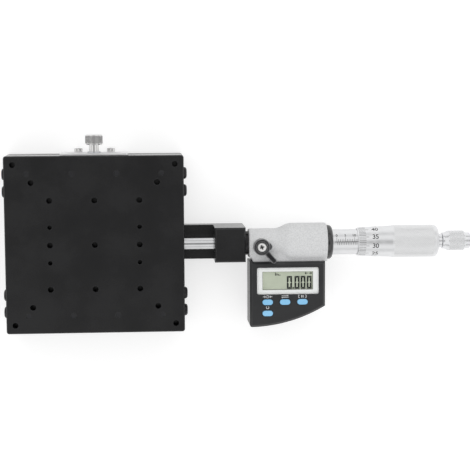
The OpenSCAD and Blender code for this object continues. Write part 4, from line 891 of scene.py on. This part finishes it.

# %% [markdown]
# ## What the display shows
# The digits of a liquid crystal display are not printed: each is seven thin electrodes. A lit
# segment is a flat face with slanting ends, so that neighbours meet with a hairline between them.
# A digit lists the corners of its seven faces once, measured from the box it fills, and draws the
# ones that are lit. The unlit ones stay faintly visible on real glass, and here they are left out.
# Small generic marks sit over the number: four falling bars for a held reading and a pair of
# arrows for the counting direction. A thin dark line runs round the glass, painted shade for the
# narrow gap between the glass and its surround. The glass runs on under its surround, so the line
# is placed from the glass node's own box.
# All of it is a few flat faces, which get their thickness at the end.

# %% Segments
glass_top, face_top = 24.2, 26.0
crystal_z, print_z = glass_top + 0.03, face_top + 0.012
digit_stroke, digit_foot, digit_head = 1.05, -27.0, -19.6
zero = "abcdef"


def bar(bm, x0, y0, x1, y1, width, z, mitre=True):
    """A flat bar from one point to another, in mm, with mitred or square ends."""
    start, end = Vector((x0, y0, z)), Vector((x1, y1, z))
    along = (end - start).normalized()
    across = Vector((-along.y, along.x, 0)) * width / 2
    tip = along * width / 2
    rim = [start, start + tip + across, end - tip + across, end, end - tip - across, start + tip - across]
    if not mitre:
        rim = [start + across, end + across, end - across, start - across]
    bm.faces.new([bm.verts.new(point * mm) for point in rim])


def strokes(bm, width, z, *lines):
    """Bars with square ends. Each line is x0, y0, x1, y1."""
    for line in lines:
        bar(bm, *line, width, z, mitre=False)


def digit(bm, lit, x0, x1, y0, y1, width, z):
    """One seven segment digit in the box x0..x1, y0..y1, with the named segments lit."""
    m, half, gap = (y0 + y1) / 2, width / 2, 0.05
    # The inner edges of the outer segments: left, right, bottom and top
    l, r = x0 + width, x1 - width
    b, t = y0 + width, y1 - width
    shapes = {"a": [(x0 + gap, y1), (x1 - gap, y1), (r - gap, t), (l + gap, t)],
              "b": [(x1, y1 - gap), (x1, m + gap), (x1 - half, m + gap), (r, m + half), (r, t - gap)],
              "c": [(x1, y0 + gap), (x1, m - gap), (x1 - half, m - gap), (r, m - half), (r, b + gap)],
              "d": [(x0 + gap, y0), (x1 - gap, y0), (r - gap, b), (l + gap, b)],
              "e": [(x0, y0 + gap), (x0, m - gap), (x0 + half, m - gap), (l, m - half), (l, b + gap)],
              "f": [(x0, y1 - gap), (x0, m + gap), (x0 + half, m + gap), (l, m + half), (l, t - gap)],
              "g": [(l, m + half - gap), (r, m + half - gap), (x1 - half, m),
                    (r, m - half + gap), (l, m - half + gap), (x0 + half, m)]}
    for name in lit:
        face = bm.faces.new([bm.verts.new(Vector((x, y, z)) * mm) for x, y in shapes[name]])
        face.normal_update()
        if face.normal.z < 0:
            face.normal_flip()


def disc(bm, x, y, z, radius, steps=20):
    """A flat round dot, in mm."""
    made = bmesh.ops.create_circle(bm, cap_ends=True, segments=steps, radius=radius * mm)
    bmesh.ops.translate(bm, verts=made["verts"], vec=Vector((x, y, z)) * mm)


# %% The reading
bm = bmesh.new()
for x0, x1 in ((108.3, 111.3), (112.7, 115.6), (116.2, 119.0), (119.7, 122.5)):
    digit(bm, zero, x0, x1, digit_foot, digit_head, digit_stroke, crystal_z)
disc(bm, 112.0, -26.5, crystal_z, 0.5)
held_x, held_y, arrows_x, arrows_y = 101.8, -19.3, 120.6, -18.1
for k in range(4):
    strokes(bm, 0.5, crystal_z, (held_x + 0.85 * k, held_y, held_x + 0.85 * k, -17.6 - 0.4 * k))
for s in (-1, 1):
    tip = arrows_x + 1.9 * s
    strokes(bm, 0.34, crystal_z, (arrows_x + 0.9 * s - 0.55 * s, arrows_y, tip, arrows_y),
            (tip, arrows_y, arrows_x + 1.25 * s, -17.5), (tip, arrows_y, arrows_x + 1.25 * s, -18.7))
# The dark line round the glass is painted shade for the gap at the surround's edge
line = 0.2
inset = 1.4 + line / 2          # the glass runs on 1.4 mm under its surround
corners = [nodes["lcd_panel"].matrix_world @ Vector(corner) / mm for corner in nodes["lcd_panel"].bound_box]
x0, x1 = min(c.x for c in corners) + inset, max(c.x for c in corners) - inset
y0, y1 = min(c.y for c in corners) + inset, max(c.y for c in corners) - inset
for ends in ((x0, y0, x1, y0), (x1, y0, x1, y1), (x1, y1, x0, y1), (x0, y1, x0, y0)):
    bar(bm, *ends, line, crystal_z)
print("glass:", [round(v, 2) for v in (x0, x1, y0, y1)])
thicken(bm, 0.015)
piece(bm, "display_reading", crystal_black, "base")

# %% [markdown]
# ## Legends by the keys
# Each key has a small white mark over it that says what it does without a word: set to zero,
# change the unit, hold the reading, and power. The marks are made from bars like those above and
# a broken ring, which is a short edge spun part of the way round an upright axis.

# %% White marks
stroke = 0.3
row_y, low_y = -31.1, -37.3
zero_x, unit_x, hold_x, power_x = 97.1, 107.1, 117.0, 97.15


def ring(bm, x, y, z, radius, width, first, last, steps=28):
    """A part of a flat ring, between two angles from +x."""
    ends = [bm.verts.new(Vector((x + (radius + s * width / 2) * math.cos(first),
                                 y + (radius + s * width / 2) * math.sin(first), z)) * mm) for s in (-1, 1)]
    bmesh.ops.spin(bm, geom=ends + [bm.edges.new(ends)], cent=Vector((x, y, z)) * mm, axis=upwards,
                   dvec=(0, 0, 0), angle=last - first, steps=steps)


bm = bmesh.new()
# Set to zero: an arrow from each side to a small nought
digit(bm, zero, zero_x - 0.6, zero_x + 0.6, row_y - 0.85, row_y + 0.85, 0.27, print_z)
for s in (-1, 1):
    tip = zero_x + 1.1 * s
    strokes(bm, stroke, print_z, (zero_x + 2.7 * s, row_y, tip, row_y),
            *[(tip, row_y, zero_x + 1.75 * s, row_y + 0.6 * t) for t in (-1, 1)])
# Change the unit: two arrows that pass each other
for s in (-1, 1):
    y, tip = row_y + 0.42 * s, unit_x + 2.0 * s
    strokes(bm, stroke, print_z, (unit_x - 2.0, y, unit_x + 2.0, y), (tip, y, tip - 0.7 * s, y + 0.5 * s))
# Hold: two upright bars in brackets
for s in (-1, 1):
    low, high = row_y - 0.75, row_y + 0.75
    strokes(bm, 0.42, print_z, (hold_x + 0.42 * s, low, hold_x + 0.42 * s, high))
    strokes(bm, stroke, print_z, (hold_x + 2.2 * s, low, hold_x + 2.2 * s, high),
            *[(hold_x + 2.35 * s, y, hold_x + 1.5 * s, y) for y in (low, high)])
# Power: a broken ring with a bar
ring(bm, power_x, low_y, print_z, 0.72, stroke, math.radians(125), math.radians(415))
strokes(bm, stroke, print_z, (power_x, low_y + 0.1, power_x, low_y + 1.0))
thicken(bm, 0.008)
piece(bm, "key_legends", legend_white, "base")

# %% [markdown]
# ## The cast frame
# The micrometer's frame is a casting: a turned neck and body, a flat side that carries the
# display, and a low boss for the clamp. On a casting these forms run into each other in soft
# hollows, which the plain solids can't show. One could fillet every crossing by hand. It is
# quicker to lay the three forms over each other, let a voxel remesh melt them into one skin, and
# relax that skin where no machined face lies. The bores and the flat face are machined into
# the real casting afterwards, so here they are cut afterwards too.

# %% The three forms of the casting
frame_x0, frame_x1 = 86.8, 131.6
neck_r, body_r = 8.3, 11.25
pivot = Vector((93.8, -2.5, 0))


def turned_form(bm, outline, point, along, out, steps):
    """Spins an outline of (distance along, radius) that starts and ends on the axis."""
    rim = [bm.verts.new(round_about(Vector(point) + Vector(along) * a, along, out, r, 0))
           for a, r in outline]
    edges = [bm.edges.new(pair) for pair in zip(rim, rim[1:])]
    full_turn(bm, rim + edges, point, along, steps)
    bmesh.ops.remove_doubles(bm, verts=bm.verts, dist=0.001 * mm)
    bmesh.ops.recalc_face_normals(bm, faces=bm.faces)


def plate_form(bm, outline, z0, z1):
    """Extrudes an outline of (x, y) from one height to another."""
    face = bm.faces.new([bm.verts.new(Vector((x, y, z0)) * mm) for x, y in outline])
    raised = made_of(bmesh.ops.extrude_face_region(bm, geom=[face]), bmesh.types.BMVert)
    bmesh.ops.translate(bm, verts=raised, vec=(0, 0, (z1 - z0) * mm))
    bmesh.ops.recalc_face_normals(bm, faces=bm.faces)


def shoulder(t):
    """A smooth step from 0 to 1."""
    return t * t * (3 - 2 * t)


swell_x0, swell_x1, swell_steps = 101.9, 111.3, 12
swell = [(swell_x0 + (swell_x1 - swell_x0) * t / swell_steps,
          neck_r + (body_r - neck_r) * shoulder(t / swell_steps)) for t in range(swell_steps + 1)]
casting = bmesh.new()
turned_form(casting, [(frame_x0, 0), (frame_x0, neck_r - 0.5), (frame_x0 + 0.5, neck_r)] + swell
            + [(frame_x1 - 0.6, body_r), (frame_x1, body_r - 0.6), (frame_x1, 0)],
            (0, axis_y, axis_z), forwards, upwards, 96)
plate_form(casting, [(87.0, axis_y), (87.0, -7.5), (89.55, -12.35), (frame_x1, -12.35), (frame_x1, axis_y)],
           9.0, 23.6)
turned_form(casting, [(axis_z, 0), (axis_z, 5.1), (25.3, 5.1), (25.3, 0)], pivot, upwards, forwards, 48)
print("forms:", len(casting.faces), "faces")


# %% Melt, relax and machine
def as_object(bm, name):
    """A working object from a bmesh, which is deleted again later."""
    in_order(bm)
    mesh = bpy.data.meshes.new(name)
    bm.to_mesh(mesh)
    bm.free()
    made = bpy.data.objects.new(name, mesh)
    bpy.context.scene.collection.objects.link(made)
    return made


def with_modifiers(worked):
    """The mesh that the object's modifiers give, as a bmesh. The object is deleted."""
    bpy.context.view_layer.update()
    result = bmesh.new()
    result.from_object(worked, bpy.context.evaluated_depsgraph_get())
    bpy.data.objects.remove(worked)
    return result


def combined(worked, parts):
    """Joins each (part, operation) to the worked object or cuts it away, and deletes the parts."""
    for part, operation in parts:
        step = worked.modifiers.new(part.name, "BOOLEAN")
        step.operation, step.solver, step.object = operation, "EXACT", part
    result = with_modifiers(worked)
    for part, _ in parts:
        bpy.data.objects.remove(part)
    return result


voxel, rounds = 0.34, 26          # the size of the remesh's cells in mm, and the rounds of relaxing
rough = as_object(casting, "rough_casting")
melt = rough.modifiers.new("melt", "REMESH")
melt.mode, melt.voxel_size = "VOXEL", voxel * mm
skin = with_modifiers(rough)
# The two ends, the flat side and the boss's top are machined, so their corners stay where they are
cast_skin = [v for v in skin.verts
             if frame_x0 + 1.0 < v.co.x / mm < frame_x1 - 1.2 and v.co.y / mm > -11.2 and v.co.z / mm < 25.1]
for _ in range(rounds):
    bmesh.ops.smooth_vert(skin, verts=cast_skin, factor=0.5,
                          use_axis_x=True, use_axis_y=True, use_axis_z=True)

bores = bmesh.new()
turned_form(bores, [(86.0, 0), (86.0, 6.03), (100.2, 6.03), (100.2, 3.45), (108.0, 3.45), (108.0, 9.0),
                    (132.0, 9.0), (132.0, 0)], (0, axis_y, axis_z), forwards, upwards, 72)
clamp_hole = bmesh.new()
turned_form(clamp_hole, [(axis_z, 0), (axis_z, 1.53), (22.2, 1.53), (22.2, 1.28), (27.0, 1.28), (27.0, 0)],
            pivot, upwards, forwards, 32)
seat = bmesh.new()
plate_form(seat, [(80, -11.3), (80, -20), (140, -20), (140, -11.3)], 0, 40)
cutters = [(as_object(bores, "bores"), "DIFFERENCE"), (as_object(clamp_hole, "clamp_hole"), "DIFFERENCE"),
           (as_object(seat, "seat"), "DIFFERENCE")]
machined = combined(as_object(skin, "worked_casting"), cutters)
cast_frame = piece(machined, "cast_frame", enamel, "base", crease=40)
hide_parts("micrometer_frame")

# %% [markdown]
# ## The return springs
# Two extension springs keep the table against the spindle. A spring is a wire on a path, so the
# path is written as points and a curve with a round bevel gives it its thickness: a hook round
# the first pin, a slanting neck, the close turns, another neck and the other hook. The curve is
# turned into a mesh.

# %% Wind the springs
table_pin_x, base_pin_x = -30.0, 34.0
coil_x0, coil_x1, coil_r = -25.4, 28.6, 2.3
hook_r, wire_r = 2.1, 0.46
spring_z = 16.5
around = 16                # points in one turn


def spring_path(y):
    """Points of one spring's wire, in mm."""
    first_hook = [(table_pin_x + hook_r * math.cos(a), y + hook_r * math.sin(a), spring_z)
                  for a in (math.radians(d) for d in range(-320, 1, 20))]
    turns = round(coil_x1 - coil_x0)
    coil = [(coil_x0 + 0.5 + (turns - 1) * k / (around * turns),
             y + coil_r * math.sin(2 * math.pi * k / around),
             spring_z + coil_r * math.cos(2 * math.pi * k / around)) for k in range(around * turns + 1)]
    last_hook = [(base_pin_x - hook_r * math.cos(a), y - hook_r * math.sin(a), spring_z)
                 for a in (math.radians(d) for d in range(0, 321, 20))]
    return first_hook + coil + last_hook


wound = bmesh.new()
for y in (-18, 18):
    wire = bpy.data.curves.new("spring_wire", "CURVE")
    wire.dimensions = "3D"
    wire.bevel_depth, wire.bevel_resolution = wire_r * mm, 1
    points = spring_path(y)
    line = wire.splines.new("POLY")
    line.points.add(len(points) - 1)
    for point, place in zip(line.points, points):
        point.co = (*(Vector(place) * mm), 1)
    tube = mesh_of(wire)
    wound.from_mesh(tube)
    bpy.data.meshes.remove(tube)
springs = piece(wound, "wound_springs", plain_steel, None, crease=60)
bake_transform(springs)
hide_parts("return_springs")

# %% [markdown]
# ## The cross in the clamp's screw
# The recess of a cross head screw is deep and holds no light. The node already has its slots, and
# a dark cross at their floor is painted shade, which gives them the depth that two tenths of a
# millimetre can't.

# %% Darken the cross
bm = bmesh.new()
slot_turn, slot_reach, slot_width, slot_floor = math.radians(20), 1.2, 0.62, 28.32
for turn in (slot_turn, slot_turn + math.pi / 2):
    arm = Vector((math.cos(turn), math.sin(turn), 0)) * slot_reach
    strokes(bm, slot_width, slot_floor, (pivot.x - arm.x, pivot.y - arm.y, pivot.x + arm.x, pivot.y + arm.y))
thicken(bm, 0.01)
# The dark cross is painted shade at the floor of the slots
piece(bm, "lever_screw_painted_shade", scale_black, "lever")

# %% [markdown]
# ## The clamp's lever
# The lever is a turned hub with a raised rim, a stubby lobe, and an arm for the thumb. Its edges
# are what one sees of it from above, because they catch the light, so they are real roundings.
# The hub's outline is spun, the lobe and the arm are outlines extruded upwards whose top rims
# are bevelled, and a boolean makes the three one solid.

# %% Lever
def bevel_top(bm, top, offset, segments):
    """Rounds the rim of the highest faces."""
    rims = [e for e in bm.edges if all(abs(v.co.z - top * mm) < 1e-6 for v in e.verts)
            and not all(abs(f.normal.z) > 0.9 for f in e.link_faces)]
    bmesh.ops.bevel(bm, geom=rims, affect="EDGES", offset=offset * mm, offset_type="OFFSET",
                    segments=segments, profile=0.5, material=-1)


screw_hole_r, head_r = 1.28, 2.95          # the hole for the clamp's screw, and the sink for its head
hub = bmesh.new()
hub_outline = [(25.4, screw_hole_r), (25.4, 4.6), (25.6, 4.8), (27.6, 4.8), (28.0, 4.66), (28.22, 4.4),
               (28.3, 4.1), (28.3, 3.5), (28.2, 3.3), (27.95, 3.1), (27.6, head_r), (27.6, screw_hole_r)]
rim = [hub.verts.new(round_about(pivot + Vector((0, 0, z)), upwards, forwards, r, 0))
       for z, r in hub_outline]
edges = [hub.edges.new(pair) for pair in zip(rim, rim[1:] + rim[:1])]
full_turn(hub, rim + edges, pivot, upwards, 64)
bmesh.ops.recalc_face_normals(hub, faces=hub.faces)

arm_turn, arm_reach, arm_r = math.radians(-49), 12.0, 1.6
arm_rim = [(2.9, -arm_r), (2.9, arm_r)]
arm_rim += [(arm_reach - arm_r + arm_r * math.cos(a), arm_r * math.sin(a))
            for a in (math.radians(90 - 15 * k) for k in range(13))]
spin_arm = Matrix.Rotation(arm_turn, 3, "Z")
arm = bmesh.new()
plate_form(arm, [(pivot + spin_arm @ Vector((x, y, 0))).xy for x, y in arm_rim], 26.35, 28.1)
bevel_top(arm, 28.1, 0.7, 4)

lobe_turn, lobe_reach, lobe_r = math.radians(3), 3.6, 2.4
lobe_middle = pivot + lobe_reach * Vector((math.cos(lobe_turn), math.sin(lobe_turn), 0))
lobe = bmesh.new()
plate_form(lobe, [(lobe_middle.x + lobe_r * math.cos(a), lobe_middle.y + lobe_r * math.sin(a))
                  for a in (2 * math.pi * k / 40 for k in range(40))], 25.4, 27.7)
bevel_top(lobe, 27.7, 0.6, 4)
bore = bmesh.new()
turned_form(bore, [(25.0, 0), (25.0, screw_hole_r), (27.6, screw_hole_r), (27.6, head_r), (29.0, head_r),
                   (29.0, 0)], pivot, upwards, forwards, 64)

shaped = combined(as_object(hub, "worked_lever"),
                  [(as_object(arm, "arm"), "UNION"), (as_object(lobe, "lobe"), "UNION"),
                   (as_object(bore, "bore"), "DIFFERENCE")])
rounded_lever = piece(shaped, "rounded_lever", burnished, "lever", crease=30)
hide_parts("lock_lever")
